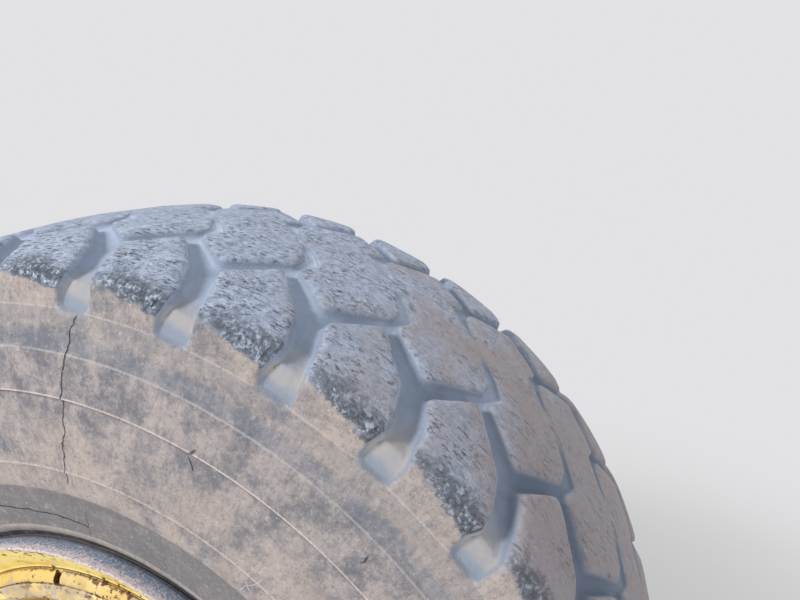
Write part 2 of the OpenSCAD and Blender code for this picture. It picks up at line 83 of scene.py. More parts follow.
class Facing(Enum):
    """The way that a fastener's head points along the axle."""

    OUT = 1.0
    IN = -1.0


def srgb(red: float, green: float, blue: float) -> Colour:
    """Turns an sRGB colour of 0 to 255 into a linear one.

    Args:
        red: Red, 0 to 255.
        green: Green, 0 to 255.
        blue: Blue, 0 to 255.

    Returns:
        The linear colour with an alpha of 1.
    """
    parts = [c / 255 for c in (red, green, blue)]
    linear = [c / 12.92 if c <= 0.04045 else ((c + 0.055) / 1.055) ** 2.4 for c in parts]
    return (*linear, 1.0)


def about_axle(radius: float, place: float, angle: float) -> Vector:
    """A point about the axle, in metres.

    Args:
        radius: Distance from the axis, mm.
        place: Place along the axle, mm outwards from the middle plane.
        angle: Angle from straight up, radians.

    Returns:
        The point in the row's frame.
    """
    return Vector((radius * math.sin(angle), -place - WHEEL_OFFSET, radius * math.cos(angle))) * MM


def turns_of(count: int) -> list[float]:
    """Angles that divide a full turn evenly, in radians."""
    return [math.tau * k / count for k in range(count)]


def in_scene(name: str, data: Any) -> bpy.types.Object:
    """Makes an object of a mesh, lamp or camera and puts it in the scene."""
    made = bpy.data.objects.new(name, data)
    bpy.context.scene.collection.objects.link(made)
    return made


class Wiring:
    """Adds nodes to one shader or geometry tree and links them."""

    def __init__(self, tree: NodeTree) -> None:
        """Keeps the tree that the nodes go in."""
        self.tree = tree

    def node(self, kind: str, inputs: dict[Any, Any] | None = None, **settings: Any) -> Node:
        """Adds a node.

        Args:
            kind: The node's type name.
            inputs: Values or sockets by input name or number.
            settings: Properties of the node.

        Returns:
            The new node.
        """
        made = self.tree.nodes.new(kind)
        for key, value in settings.items():
            setattr(made, key, value)
        self.fill(made, inputs or {})
        return made

    def fill(self, node: Node, values: dict[Any, Any]) -> None:
        """Links sockets to a node's inputs, or sets the inputs' own values, by name or number."""
        for key, value in values.items():
            if isinstance(value, Socket):
                self.tree.links.new(value, node.inputs[key])
            else:
                node.inputs[key].default_value = value

    def calc(self, operation: str, a: Any, b: Any = 0.0, c: Any = 0.0, clamp: bool = False) -> Socket:
        """Adds a Math node and returns its output."""
        made = self.node("ShaderNodeMath", {0: a, 1: b, 2: c}, operation=operation, use_clamp=clamp)
        return made.outputs[0]

    def times(self, a: Any, b: Any) -> Socket:
        """Multiplies two values or sockets."""
        return self.calc("MULTIPLY", a, b)

    def plus(self, a: Any, b: Any) -> Socket:
        """Adds two values or sockets."""
        return self.calc("ADD", a, b)

    def minus(self, a: Any, b: Any) -> Socket:
        """Takes the second value or socket from the first."""
        return self.calc("SUBTRACT", a, b)

    def times_plus(self, a: Any, b: Any, c: Any) -> Socket:
        """Multiplies the first two values or sockets and adds the third."""
        return self.calc("MULTIPLY_ADD", a, b, c)

    def larger(self, a: Any, b: Any) -> Socket:
        """The larger of two values or sockets."""
        return self.calc("MAXIMUM", a, b)

    def ragged(self, value: Any, amount: float, place: Any, *noise_settings: float) -> Socket:
        """Shifts a value up and down by seeded noise; see cloud for its settings."""
        return self.times_plus(self.minus(self.cloud(place, *noise_settings), 0.5), amount, value)

    def split(self, place: Any) -> Any:
        """Splits a place into its X, Y and Z."""
        return self.node("ShaderNodeSeparateXYZ", {0: place}).outputs

    def join(self, x: Any = 0.0, y: Any = 0.0, z: Any = 0.0) -> Socket:
        """Joins X, Y and Z in a vector."""
        return self.node("ShaderNodeCombineXYZ", {0: x, 1: y, 2: z}).outputs[0]

    def ease(self, value: Any, low: Any, high: Any, start: float = 0.0, end: float = 1.0) -> Socket:
        """Adds a smooth step of a value from low to high and returns its output."""
        made = self.node(
            "ShaderNodeMapRange",
            {"Value": value, "From Min": low, "From Max": high, "To Min": start, "To Max": end},
            interpolation_type="SMOOTHSTEP",
        )
        return made.outputs["Result"]

    def blend(self, factor: Any, a: Any, b: Any) -> Socket:
        """Adds a colour mix and returns its output."""
        return self.node("ShaderNodeMix", {0: factor, 6: a, 7: b}, data_type="RGBA").outputs[2]

    def cloud(self, place: Any, scale: Any, seed: Any, detail: Any = 3.0, rough: Any = 0.55) -> Socket:
        """Adds seeded noise and returns its value."""
        inputs = {"Vector": place, "W": seed, "Scale": scale, "Detail": detail, "Roughness": rough}
        return self.node("ShaderNodeTexNoise", inputs, noise_dimensions="4D").outputs[0]


def effect(name: str, inputs: str, outputs: str) -> Callable:
    """Makes a method that wires a shader group into a static one that places the group.

    Args:
        name: The group's name.
        inputs: Its inputs, each as the letter of its kind (v, f or c), a colon and its name.
        outputs: Its outputs, written the same way.

    Returns:
        A decorator. The method that it makes takes a tree's wiring and the inputs' values by name,
        builds the group the first time, and returns its only output, or all of them by name.
    """
    kinds = {"v": "NodeSocketVector", "f": "NodeSocketFloat", "c": "NodeSocketColor"}

    def built(wire: Callable) -> NodeTree:
        """The group's tree, with its sockets and what the method wires between them."""
        tree = bpy.data.node_groups.new(name, "ShaderNodeTree")
        for sockets, side in ((inputs, "INPUT"), (outputs, "OUTPUT")):
            for kind, label in (socket.split(":") for socket in sockets.split()):
                tree.interface.new_socket(name=label, in_out=side, socket_type=kinds[kind])
        w = Wiring(tree)
        start, end = w.node("NodeGroupInput"), w.node("NodeGroupOutput")
        w.fill(end, wire(w, start.outputs))
        return tree

    def decorate(wire: Callable) -> staticmethod:
        """Turns the method into the one that places the group."""

        @functools.wraps(wire)
        def placed(w: Wiring, **values: Any) -> Any:
            made = w.node("ShaderNodeGroup", node_tree=bpy.data.node_groups.get(name) or built(wire))
            w.fill(made, values)
            return made.outputs if len(made.outputs) > 1 else made.outputs[0]

        return staticmethod(placed)

    return decorate


class Effects:
    """Shader node groups that several finishes share, each built once."""

    @effect("about_the_axle", "v:Place", "f:Radius f:Out f:Angle")
    def polar(w: Wiring, o: Any) -> Wired:
        """Distance from the axle, place along it and angle about it, in metres and radians."""
        x, y, z = w.split(o["Place"])
        radius = w.calc("SQRT", w.times_plus(z, z, w.times(x, x)))
        return {"Radius": radius, "Out": w.minus(-WHEEL_OFFSET * MM, y), "Angle": w.calc("ARCTAN2", x, z)}

    @effect("drawn_out_noise", "v:Place f:Round f:Out f:Inward f:Scale f:Seed f:Detail f:Rough", "f:Value")
    def drawn(w: Wiring, o: Any) -> Wired:
        """Noise drawn out round the axle or along the radius, by the size that it has each way.

        Round is the radius of the circle that the noise is taken from: one shorter than the
        real radius draws it out round the axle. Out and Inward scale it along the axle and the radius.
        """
        x, y, z = w.split(o["Place"])
        radius = Effects.polar(w, Place=o["Place"])["Radius"]
        long = w.calc("DIVIDE", o["Round"], w.larger(radius, 0.05))
        across = w.times_plus(y, o["Out"], w.times(radius, o["Inward"]))
        at = w.join(w.times(x, long), across, w.times(z, long))
        return {"Value": w.cloud(at, o["Scale"], o["Seed"], o["Detail"], o["Rough"])}

    @effect("ring_band", "f:Value f:Middle f:Half f:Soft", "f:Mask")
    def ring(w: Wiring, o: Any) -> Wired:
        """A soft-edged band about one value, such as a ring at one radius."""
        apart = w.calc("ABSOLUTE", w.minus(o["Value"], o["Middle"]))
        return {"Mask": w.ease(apart, o["Half"], w.plus(o["Half"], o["Soft"]), 1.0, 0.0)}

    @effect("thin_crack", "f:Along f:Across f:Wander f:Start f:End f:From f:To f:Width", "f:Mask")
    def crack(w: Wiring, o: Any) -> Wired:
        """A thin, wandering crack between two points, in metres along and across its run."""
        share = w.node("ShaderNodeMapRange", {
            "Value": o["Along"], "From Min": o["Start"], "From Max": o["End"],
            "To Min": o["From"], "To Max": o["To"],
        }, clamp=False).outputs["Result"]
        line = w.times_plus(w.minus(o["Wander"], 0.5), 0.018, share)
        body = w.ease(w.calc("ABSOLUTE", w.minus(o["Across"], line)), 0.0, o["Width"], 1.0, 0.0)
        spans = (o["Along"], o["Start"]), (o["End"], o["Along"])
        return {"Mask": w.times(body, w.times(*(w.ease(w.minus(a, b), 0.0, 0.006) for a, b in spans)))}

    @effect("surface_grain", "v:Place f:Fine f:Coarse f:Share", "f:Height")
    def grain(w: Wiring, o: Any) -> Wired:
        """A rough surface of one fine and one coarse grain."""
        fine = w.cloud(o["Place"], o["Fine"], 3.1, 3.0, 0.6)
        coarse = w.cloud(o["Place"], o["Coarse"], 8.4, 2.0, 0.5)
        return {"Height": w.times_plus(coarse, o["Share"], w.times(fine, w.minus(1.0, o["Share"])))}

    @effect("spots", "v:Place f:Scale f:Amount f:Extra f:Soft", "f:Mask")
    def spots(w: Wiring, o: Any) -> Wired:
        """Sharp-edged spots of a size, thicker in some places than in others."""
        spots = w.cloud(o["Place"], o["Scale"], 1.7, 4.0, 0.62)
        where = w.cloud(o["Place"], w.times(o["Scale"], 0.17), 5.9, 2.0, 0.5)
        level = w.plus(w.times_plus(w.minus(where, 0.5), 0.5, spots), o["Extra"])
        low = w.minus(0.78, w.times(o["Amount"], 0.5))
        return {"Mask": w.ease(level, low, w.plus(low, o["Soft"]))}

    @effect("dust", "c:Color c:Dust v:Place f:Scale f:Amount", "c:Color f:Mask")
    def dust(w: Wiring, o: Any) -> Wired:
        """Dust over a colour, thick where Amount is high and broken up where it is low."""
        film = w.cloud(o["Place"], o["Scale"], 2.3, 5.0, 0.62)
        low = w.minus(0.85, o["Amount"])
        mask = w.ease(film, w.minus(low, 0.22), w.plus(low, 0.12))
        return {"Color": w.blend(mask, o["Color"], o["Dust"]), "Mask": mask}


@dataclass(frozen=True)
class Finish:
    """A finish: its material's name and the slot that it stands for."""

    name: str
    slot: str

    def wire(self, w: Wiring, place: Socket, shader: Node) -> None:
        """Wires the finish to the shader; each kind of finish has its own.

        Args:
            w: Wiring of the material's tree.
            place: Object coordinates.
            shader: The Principled shader.
        """
        raise NotImplementedError(self.name)

    def material(self) -> bpy.types.Material:
        """Builds the material the first time and returns it."""
        if self.name in bpy.data.materials:
            return bpy.data.materials[self.name]
        made = bpy.data.materials.new(self.name)
        made.use_nodes = True
        made.node_tree.nodes.clear()
        w = Wiring(made.node_tree)
        shader = w.node("ShaderNodeBsdfPrincipled")
        w.node("ShaderNodeOutputMaterial", {"Surface": shader.outputs[0]})
        self.wire(w, w.node("ShaderNodeTexCoord").outputs["Object"], shader)
        return made

    @staticmethod
    def bump(w: Wiring, shader: Node, height: Any, depth: float) -> None:
        """Feeds a height of 0 to 1 to the shader as a bump of a depth in metres."""
        made = w.node("ShaderNodeBump", {"Height": height, "Distance": depth, "Strength": 1.0})
        w.fill(shader, {"Normal": made.outputs[0]})

    @staticmethod
    def worn(w: Wiring, name: str) -> Socket:
        """Reads one of the mesh's own values, such as how near a worn edge is."""
        return w.node("ShaderNodeAttribute", attribute_name=name).outputs["Fac"]

    @staticmethod
    def fed(shader: Node, name: str) -> Socket:
        """The socket that feeds one of the shader's inputs so far."""
        return shader.inputs[name].links[0].from_socket


@dataclass(frozen=True)
class DustyFinish(Finish):
    """A finish that dust lies on."""

    dirt: Colour = srgb(170, 152, 132)
    dusty: float = 0.25

    def dusted(self, w: Wiring, place: Socket, colour: Any, scale: float) -> tuple[Socket, Socket]:
        """Lays the dust over a colour and returns the new colour and how thick the dust is."""
        made = Effects.dust(w, Color=colour, Dust=self.dirt, Place=place, Scale=scale, Amount=self.dusty)
        return made["Color"], made["Mask"]


@dataclass(frozen=True)
class Band:
    """A ring of one colour on the sidewall: its radius, half width and soft edge in mm, and its strength."""

    radius: float
    half: float
    soft: float
    colour: Colour
    strength: float


@dataclass(frozen=True)
class Crack:
    """A crack in the sidewall, across it or along it.

    A crack across it runs from one radius to another, in mm, and its sides are degrees from
    straight up. A crack along it has them the other way round.
    """

    start: float
    end: float
    side_from: float
    side_to: float
    width: float
    along: bool = False
    strength: float = 0.85


@dataclass(frozen=True)
class TyreRubber(Finish):
    """Weathered rubber: blue-grey grainy block tops, dusty grooves and a beige, dusty sidewall."""

    # The blue-grey of the tops, grooves and pockets is partly painted sky light on the rubber
    top_light: Colour = srgb(190, 201, 220)
    top_mid: Colour = srgb(165, 176, 197)
    top_dark: Colour = srgb(122, 131, 150)
    pit: Colour = srgb(58, 65, 78)
    fleck: Colour = srgb(222, 228, 238)
    # Tops on the +X side of the tread: partly dust, partly painted shade
    dust_and_shade_tone: Colour = srgb(158, 147, 146)
    torn_dark: Colour = srgb(80, 88, 103)
    # Torn corners on the +X side: partly dust, partly painted shade
    torn_dust_and_shade: Colour = srgb(118, 110, 111)
    groove_dust: Colour = srgb(180, 174, 171)
    groove_floor: Colour = srgb(186, 198, 217)
    groove_shade: Colour = srgb(166, 179, 200)
    # Groove floors on the +X side: painted shade
    groove_painted_shade: Colour = srgb(98, 109, 127)
    # Outer ends of the pockets: painted shade, bluer
    pocket: Colour = srgb(138, 151, 168)
    wall: Colour = srgb(146, 157, 176)
    side_rubber: Colour = srgb(116, 116, 122)
    side_dust: Colour = srgb(174, 164, 160)
    side_clay: Colour = srgb(188, 173, 163)
    side_dark: Colour = srgb(98, 101, 112)
    side_light: Colour = srgb(216, 207, 202)
    crack: Colour = srgb(42, 40, 44)
    # Radius in metres at which an angle is turned into a length along the sidewall
    arc_r: float = 0.6
    # Radii in metres between which a groove's floor turns to shade, to dust and to the pocket's painted
    # shade, and between which its floor on the +X side darkens with painted shade
    shade_from: Pair = (0.792, 0.778)
    dust_from: Pair = (0.764, 0.744)
    pocket_from: Pair = (0.736, 0.722)
    painted_shade_from: Pair = (0.748, 0.772)
    # Radii between which the clay on the sidewall thickens, outwards and inwards
    clay_out: Pair = (0.686, 0.708)
    clay_in: Pair = (0.600, 0.545)
    # Rings of colour on the sidewall. The dark ring at 384 mm is painted shade in the gap between the tyre's
    # foot and the flange; the light rings at 612.6 and 667.2 mm are painted highlights on the edges of
    # moulded steps, and the dark ring at 608.5 mm is painted shade under the step at 612 mm.
    bands: tuple[Band, ...] = (
        Band(437, 33, 3, srgb(118, 116, 118), 0.86), Band(398, 3.5, 2.5, srgb(180, 172, 164), 0.6),
        Band(384, 4.5, 1.0, srgb(42, 42, 50), 0.9), Band(612.6, 0.8, 1.5, srgb(222, 204, 196), 0.8),
        Band(608.5, 0.8, 2.4, srgb(96, 96, 106), 0.4), Band(667.2, 0.5, 1.2, srgb(204, 200, 203), 0.5),
        Band(679, 6, 9, srgb(118, 127, 143), 0.34), Band(509, 0.7, 1.6, srgb(214, 199, 189), 0.65),
        Band(718, 0.5, 1.2, srgb(222, 208, 196), 0.4), Band(709, 5.5, 7, srgb(132, 134, 142), 0.35),
    )
    cracks: tuple[Crack, ...] = (
        Crack(487, 716, 3.6, 5.4, 1.3, strength=0.8), Crack(396, 452, 5.5, 5.6, 0.9, strength=0.45),
        Crack(-15, 5.5, 434, 421, 1.6, along=True),
        Crack(636, 652, 42.3, 42.7, 1.8), Crack(606, 622, 21.2, 22.6, 4.0), Crack(588, 606, 22.8, 21.4, 1.6),
        Crack(520, 690, 101.0, 99.2, 1.4), Crack(500, 660, 168.0, 171.0, 1.6),
        Crack(560, 712, -117.0, -118.5, 1.5), Crack(478, 600, -57.0, -54.5, 1.3),
        Crack(120, 150, 428, 438, 1.6, along=True), Crack(-100, -72, 424, 432, 1.6, along=True),
    )
    scratches: tuple[Crack, ...] = (
        Crack(474, 520, 34.6, 36.4, 1.3), Crack(480, 500, 37.4, 34.2, 1.1), Crack(560, 600, 76.0, 71.5, 1.2),
        Crack(520, 560, -140.0, -137.0, 1.2), Crack(640, 690, 140.0, 143.5, 1.2),
    )

    def wire(self, w: Wiring, place: Socket, shader: Node) -> None:
        """Wires the rubber; see Finish.wire."""
        polar = Effects.polar(w, Place=place)
        radius, angle = polar["Radius"], polar["Angle"]
        groove = self.worn(w, "groove")
        torn_edge = w.ragged(self.worn(w, "crown"), 0.55, place, 75.0, 8.1, 4.0, 0.7)
        crown = w.ease(torn_edge, 0.41, 0.57)
        open_top = w.minus(1.0, w.ease(groove, 0.05, 0.4))
        tops, pits, dust_and_shade = self._tops(w, place)
        colour = w.blend(crown, self._side(w, place, radius), tops)
        colour = self._grooved(w, place, colour, radius, groove, dust_and_shade)
        # Torn shoulder corners, dark and rough
        scuffed = w.ragged(self.worn(w, "scuff"), 1.3, place, 28.0, 2.9, 5.0, 0.66)
        torn_mask = w.times(w.times(w.ease(scuffed, 0.35, 1.0), crown), open_top)
        shreds = w.ease(w.cloud(place, 120.0, 7.7, 7.0, 0.84), 0.39, 0.55)
        # On the +X side the torn corners take a browner colour: partly dust, partly painted shade
        torn = w.blend(w.times(dust_and_shade, 0.55), w.blend(shreds, self.torn_dark, self.top_light), self.torn_dust_and_shade)
        colour = w.blend(w.times(torn_mask, 0.85), colour, torn)
        flecks = w.ease(w.cloud(place, 190.0, 9.9, 3.0, 0.7), 0.63, 0.70)
        border = w.times(w.ease(torn_edge, 0.18, 0.46), w.ease(torn_edge, 0.80, 0.50))
        shown = w.times(flecks, w.times(w.larger(torn_mask, border), open_top))
        colour = w.blend(shown, colour, self.fleck)
        # Block edges lightened a little: partly rubbed wear, partly a painted highlight
        rubbed = w.times(
            w.ease(self.worn(w, "edge"), 0.45, 1.0), w.ease(w.cloud(place, 60.0, 3.3, 3.0), 0.4, 0.6))
        colour = w.blend(w.times(rubbed, 0.15), colour, self.top_light)
        colour = w.blend(self._lines(w, place, radius, angle, self.scratches), colour, self.side_light)
        cut = self._lines(w, place, radius, angle, self.cracks)
        w.fill(shader, {
            "Base Color": w.blend(cut, colour, self.crack), "Specular IOR Level": 0.35,
            "Roughness": w.times_plus(w.calc("SUBTRACT", crown, groove, clamp=True), -0.20, 0.94),
        })
        grain = Effects.grain(w, Place=place, Fine=420.0, Coarse=130.0, Share=0.5)
        height = w.minus(grain, w.times(pits, w.times(open_top, crown)))
        height = w.times_plus(w.times(torn_mask, shreds), 2.0, height)
        self.bump(w, shader, w.times_plus(cut, -1.5, height), 0.0018)

    def _grooved(
        self, w: Wiring, place: Socket, colour: Any, radius: Any, groove: Any, dust_and_shade: Any
    ) -> Socket:
        """Lays the grooves over a colour: dust at their outer ends, bluer inwards, and painted shade in the
        pockets and on the +X side.

        Args:
            w: Wiring of the material's tree.
            place: Object coordinates.
            colour: The colour so far.
            radius: Distance from the axle.
            groove: How far down a groove a spot is, 0 to 1.
            dust_and_shade: How thick the dust and painted shade on the +X side are there.

        Returns:
            The new colour.
        """
        silt = w.ease(w.cloud(place, 52.0, 6.4, 5.0, 0.7), 0.34, 0.66)
        reach = w.ragged(radius, 0.03, place, 24.0, 5.8, 4.0, 0.6)
        floor = w.blend(w.ease(radius, *self.shade_from), self.groove_floor, self.groove_shade)
        floor = w.blend(w.ease(reach, *self.dust_from), floor, self.groove_dust)
        # The pockets' outer ends take painted shade
        floor = w.blend(w.times(w.ease(reach, *self.pocket_from), 0.8), floor, self.pocket)
        floor = w.blend(w.times(silt, 0.35), floor, self.wall)
        colour = w.blend(w.times(w.ease(groove, 0.10, 0.5), 0.8), colour, self.wall)
        colour = w.blend(w.ease(groove, 0.5, 0.95), colour, floor)
        # Painted shade darkens the groove floors on the +X side of the tyre
        painted_groove_shade = w.times(w.times(dust_and_shade, w.ease(groove, 0.25, 0.8)), w.ease(reach, *self.painted_shade_from))
        return w.blend(w.times(painted_groove_shade, 0.65), colour, self.groove_painted_shade)

    def _tops(self, w: Wiring, place: Socket) -> tuple[Socket, Socket, Socket]:
        """The block tops' colour (soft clouds, short dark nicks, light flecks), their pits, and the mask of
        dust and painted shade on the +X side.
        """
        patch = w.ease(w.cloud(place, 21.0, 4.2, 4.0, 0.6), 0.34, 0.66)
        mottle = w.ease(w.cloud(place, 90.0, 0.7, 7.0, 0.84), 0.37, 0.63)
        tops = w.blend(mottle, self.top_dark, self.top_light)
        tops = w.blend(w.times(patch, 0.55), tops, self.top_mid)
        # Dust and painted shade brown the +X side of the tread, and the pits thin out there
        dust_and_shade = w.ease(w.plus(w.split(place)["X"], w.cloud(place, 8.0, 1.2, 3.0)), 0.78, 1.16)
        tops = w.blend(w.times(dust_and_shade, 0.85), tops, self.dust_and_shade_tone)
        clusters = w.ease(w.cloud(place, 24.0, 8.3, 4.0, 0.62), 0.40, 0.62, 0.22, 1.0)
        nicks = Effects.drawn(
            w, Place=place, Round=0.30, Out=1.0, Inward=1.0, Scale=230.0, Seed=6.1, Detail=5.0, Rough=0.8)
        pits = w.times(w.times(w.ease(nicks, 0.535, 0.63), clusters), w.times_plus(dust_and_shade, -0.6, 1.0))
        tops = w.blend(w.times(pits, 0.9), tops, self.pit)
        flecks = w.ease(w.cloud(place, 260.0, 3.6, 4.0, 0.78), 0.60, 0.69)
        return w.blend(w.times(flecks, 0.6), tops, self.fleck), pits, dust_and_shade

    def _side(self, w: Wiring, place: Socket, radius: Any) -> Socket:
        """The sidewall's colour: dust over grey rubber, wiped off in streaks, with the moulded rings."""

        def wiped(scale: float, seed: float, detail: float) -> Socket:
            """Noise drawn out along the radius."""
            return Effects.drawn(w, Place=place, Round=0.6, Out=0.0, Inward=0.22, Scale=scale, Seed=seed,
                                 Detail=detail, Rough=0.7)

        cloudy = w.cloud(place, 26.0, 2.3, 9.0, 0.80)
        mixed = w.plus(w.times(wiped(40.0, 2.0, 6.0), 0.25), w.times(cloudy, 0.75))
        side = w.blend(w.ease(mixed, 0.41, 0.58), self.side_rubber, self.side_dust)
        clay = w.times(w.larger(w.ease(radius, *self.clay_out), w.ease(radius, *self.clay_in)),
                       w.ease(w.cloud(place, 14.0, 7.5, 6.0, 0.72), 0.36, 0.60))
        side = w.blend(w.times(clay, 0.7), side, self.side_clay)
        film = w.ease(w.cloud(place, 30.0, 4.7, 4.0, 0.65), 0.25, 0.55, 0.55, 1.0)
        for band in self.bands:
            mask = Effects.ring(
                w, Value=radius, Middle=band.radius * MM, Half=band.half * MM, Soft=band.soft * MM)
            side = w.blend(w.times(w.times(mask, film), band.strength), side, band.colour)
        side = w.blend(w.times(w.ease(wiped(170.0, 6.0, 5.0), 0.50, 0.66), 0.3), side, self.side_dark)
        speckle = w.ease(w.cloud(place, 200.0, 6.6, 5.0, 0.8), 0.49, 0.65)
        side = w.blend(w.times(speckle, 0.5), side, self.side_dark)
        light = w.ease(w.cloud(place, 150.0, 1.6, 6.0, 0.8), 0.53, 0.68)
        return w.blend(w.times(light, 0.45), side, self.side_light)

    def _lines(self, w: Wiring, place: Socket, radius: Any, angle: Any, cracks: Sequence[Crack]) -> Any:
        """How far a set of cracks or scratches shows at a spot of the sidewall."""
        wander = w.cloud(place, 42.0, 8.8, 3.0)
        axes = [(radius, MM), (w.times(angle, self.arc_r), math.radians(self.arc_r))]
        shown: Any = 0.0
        for crack in cracks:
            (along, unit), (across, side_unit) = axes[::-1] if crack.along else axes
            mask = Effects.crack(
                w, Along=along, Across=across, Wander=wander, Start=crack.start * unit, End=crack.end * unit,
                From=crack.side_from * side_unit, To=crack.side_to * side_unit, Width=crack.width * MM)
            shown = w.larger(shown, w.times(mask, crack.strength))
        return shown


@dataclass(frozen=True)
class Paint(DustyFinish):
    """Yellow paint on steel: faded, chipped to dark specks, rubbed bare in patches, with dust."""

    paint: Colour = srgb(240, 196, 84)
    faded: Colour = srgb(248, 226, 152)
    worn_through: Colour = srgb(222, 200, 176)
    speck: Colour = srgb(96, 62, 36)
    rust: Colour = srgb(140, 92, 52)
    dirt: Colour = srgb(180, 162, 142)
    chips: float = 0.30
    bare: float = 0.25
    dusty: float = 0.12
    stained: float = 0.3
    # Radii of seams in mm, and a seam's half width and soft edge in metres
    seams: tuple[float, ...] = ()
    seam_half: float = 0.0007
    seam_soft: float = 0.0011
    # The notch's angle in degrees and half width in mm, and where its darkening fades in, partly rust and
    # partly painted shade in the lock ring's split, in metres: by radius, by height and by place along the
    # axle
    notch: Pair | None = None
    notch_fades: tuple[Pair, Pair, Pair] = ((0.3075, 0.3085), (0.1, 0.11), (0.20, 0.21))

    def wire(self, w: Wiring, place: Socket, shader: Node) -> None:
        """Wires the paint; see Finish.wire."""
        at_edge = w.times(self.worn(w, "edge"), 0.10)
        fade = w.ease(w.cloud(place, 12.0, 1.1, 4.0, 0.62), 0.34, 0.66)
        colour = w.blend(fade, self.paint, self.faded)
        stain = w.ease(w.cloud(place, 30.0, 6.1, 5.0, 0.68), 0.50, 0.72)
        colour = w.blend(w.times(stain, self.stained), colour, self.rust)
        rubbed = Effects.spots(w, Place=place, Scale=34.0, Amount=self.bare, Extra=at_edge, Soft=0.06)
        metal = w.blend(w.ease(w.cloud(place, 150.0, 8.2, 4.0, 0.7), 0.4, 0.62), self.worn_through, self.dirt)
        colour = w.blend(rubbed, colour, metal)
        specks = Effects.spots(w, Place=place, Scale=130.0, Amount=self.chips, Extra=at_edge, Soft=0.03)
        colour = w.blend(specks, colour, w.blend(stain, self.speck, self.rust))
        colour, dust = self.dusted(w, place, colour, 24.0)
        radius = Effects.polar(w, Place=place)["Radius"] if self.seams else None
        for seam in self.seams:
            mask = Effects.ring(
                w, Value=radius, Middle=seam * MM, Half=self.seam_half, Soft=self.seam_soft)
            colour = w.blend(w.times(mask, 0.85), colour, self.speck)
        if self.notch:
            # Darkens the lock ring's split: partly rust, partly painted shade
            colour = w.blend(self._notch_rust_and_shade(w, place), colour, self.speck)
        w.fill(shader, {"Base Color": colour, "Roughness": w.times_plus(w.larger(dust, rubbed), 0.26, 0.56)})
        grain = Effects.grain(w, Place=place, Fine=500.0, Coarse=70.0, Share=0.4)
        self.bump(w, shader, w.times_plus(specks, -0.9, w.times_plus(rubbed, -0.35, grain)), 0.0006)

    def _notch_rust_and_shade(self, w: Wiring, place: Socket) -> Socket:
        """How dark a spot is for lying in or beside the lock ring's split: partly rust, partly painted shade.
        """
        angle, half = math.radians(self.notch[0]), self.notch[1] * MM
        x, _, z = w.split(place)
        aside = w.calc("ABSOLUTE", w.minus(w.times(x, math.cos(angle)), w.times(z, math.sin(angle))))
        rag = w.ragged(aside, 0.006, place, 120.0, 4.9, 3.0, 0.6)
        polar = Effects.polar(w, Place=place)
        by_radius, by_height, by_place = self.notch_fades
        above = w.times(w.ease(polar["Radius"], *by_radius), w.ease(z, *by_height))
        above = w.times(above, w.ease(polar["Out"], *by_place))
        return w.times(w.ease(rag, half, half + 0.0015, 1.0, 0.0), above)


@dataclass(frozen=True)
class FlangeLipPaint(Paint):
    """Rim paint whose curled lip is rubbed to blue-grey steel, pale where it has only just worn through; the
    blue-grey nearer the tyre is partly painted shade, and its light flecks are painted glints.
    """

    steel: Colour = srgb(132, 146, 166)
    pitted: Colour = srgb(84, 92, 108)
    pale: Colour = srgb(224, 207, 206)
    lip_r: float = 377.0
    lip_out: float = 291.0
    slope: float = 0.685
    pale_from: float = 281.0

    def wire(self, w: Wiring, place: Socket, shader: Node) -> None:
        """Wires the paint, then lays the worn lip over it; see Finish.wire."""
        super().wire(w, place, shader)
        polar = Effects.polar(w, Place=place)
        out = w.calc("ABSOLUTE", polar["Out"])
        rag = w.minus(w.cloud(place, 75.0, 2.2, 5.0, 0.72), 0.5)
        fine = w.minus(w.cloud(place, 330.0, 5.2, 3.0, 0.7), 0.5)
        # How far a spot lies behind the plane of the flange's dished front, which keeps its paint
        inward = w.minus(polar["Radius"], self.lip_r * MM)
        behind = w.minus(w.times_plus(inward, self.slope, self.lip_out * MM), out)
        at = w.times_plus(rag, 0.010, w.times_plus(fine, 0.005, behind))
        lip = w.times_plus(rag, 0.018, w.times_plus(fine, 0.008, inward))
        curl = w.times_plus(rag, 0.030, w.times_plus(fine, 0.030, out))
        # Bare steel is blue-grey nearer the tyre, partly as painted shade near the gap, and pale further out
        tone = w.ease(curl, self.pale_from * MM - 0.003, self.pale_from * MM + 0.003)
        fleck = w.cloud(place, 260.0, 7.1, 5.0, 0.8)
        # Light flecks on the bare steel: painted glints; the dark ones next are pitting
        steel = w.blend(w.times(w.ease(fleck, 0.50, 0.62), 0.85), self.steel, self.pale)
        steel = w.blend(w.times(w.ease(fleck, 0.45, 0.38), 0.7), steel, self.pitted)
        pale = w.blend(w.ease(w.cloud(place, 260.0, 3.8, 5.0, 0.8), 0.49, 0.62), self.pale, self.steel)
        worn = w.larger(w.ease(at, 0.0012, 0.0030), w.ease(lip, -0.0030, 0.0))
        w.fill(shader, {
            "Base Color": w.blend(worn, self.fed(shader, "Base Color"), w.blend(tone, steel, pale)),
            "Roughness": w.larger(self.fed(shader, "Roughness"), w.times(worn, 0.82)),
        })


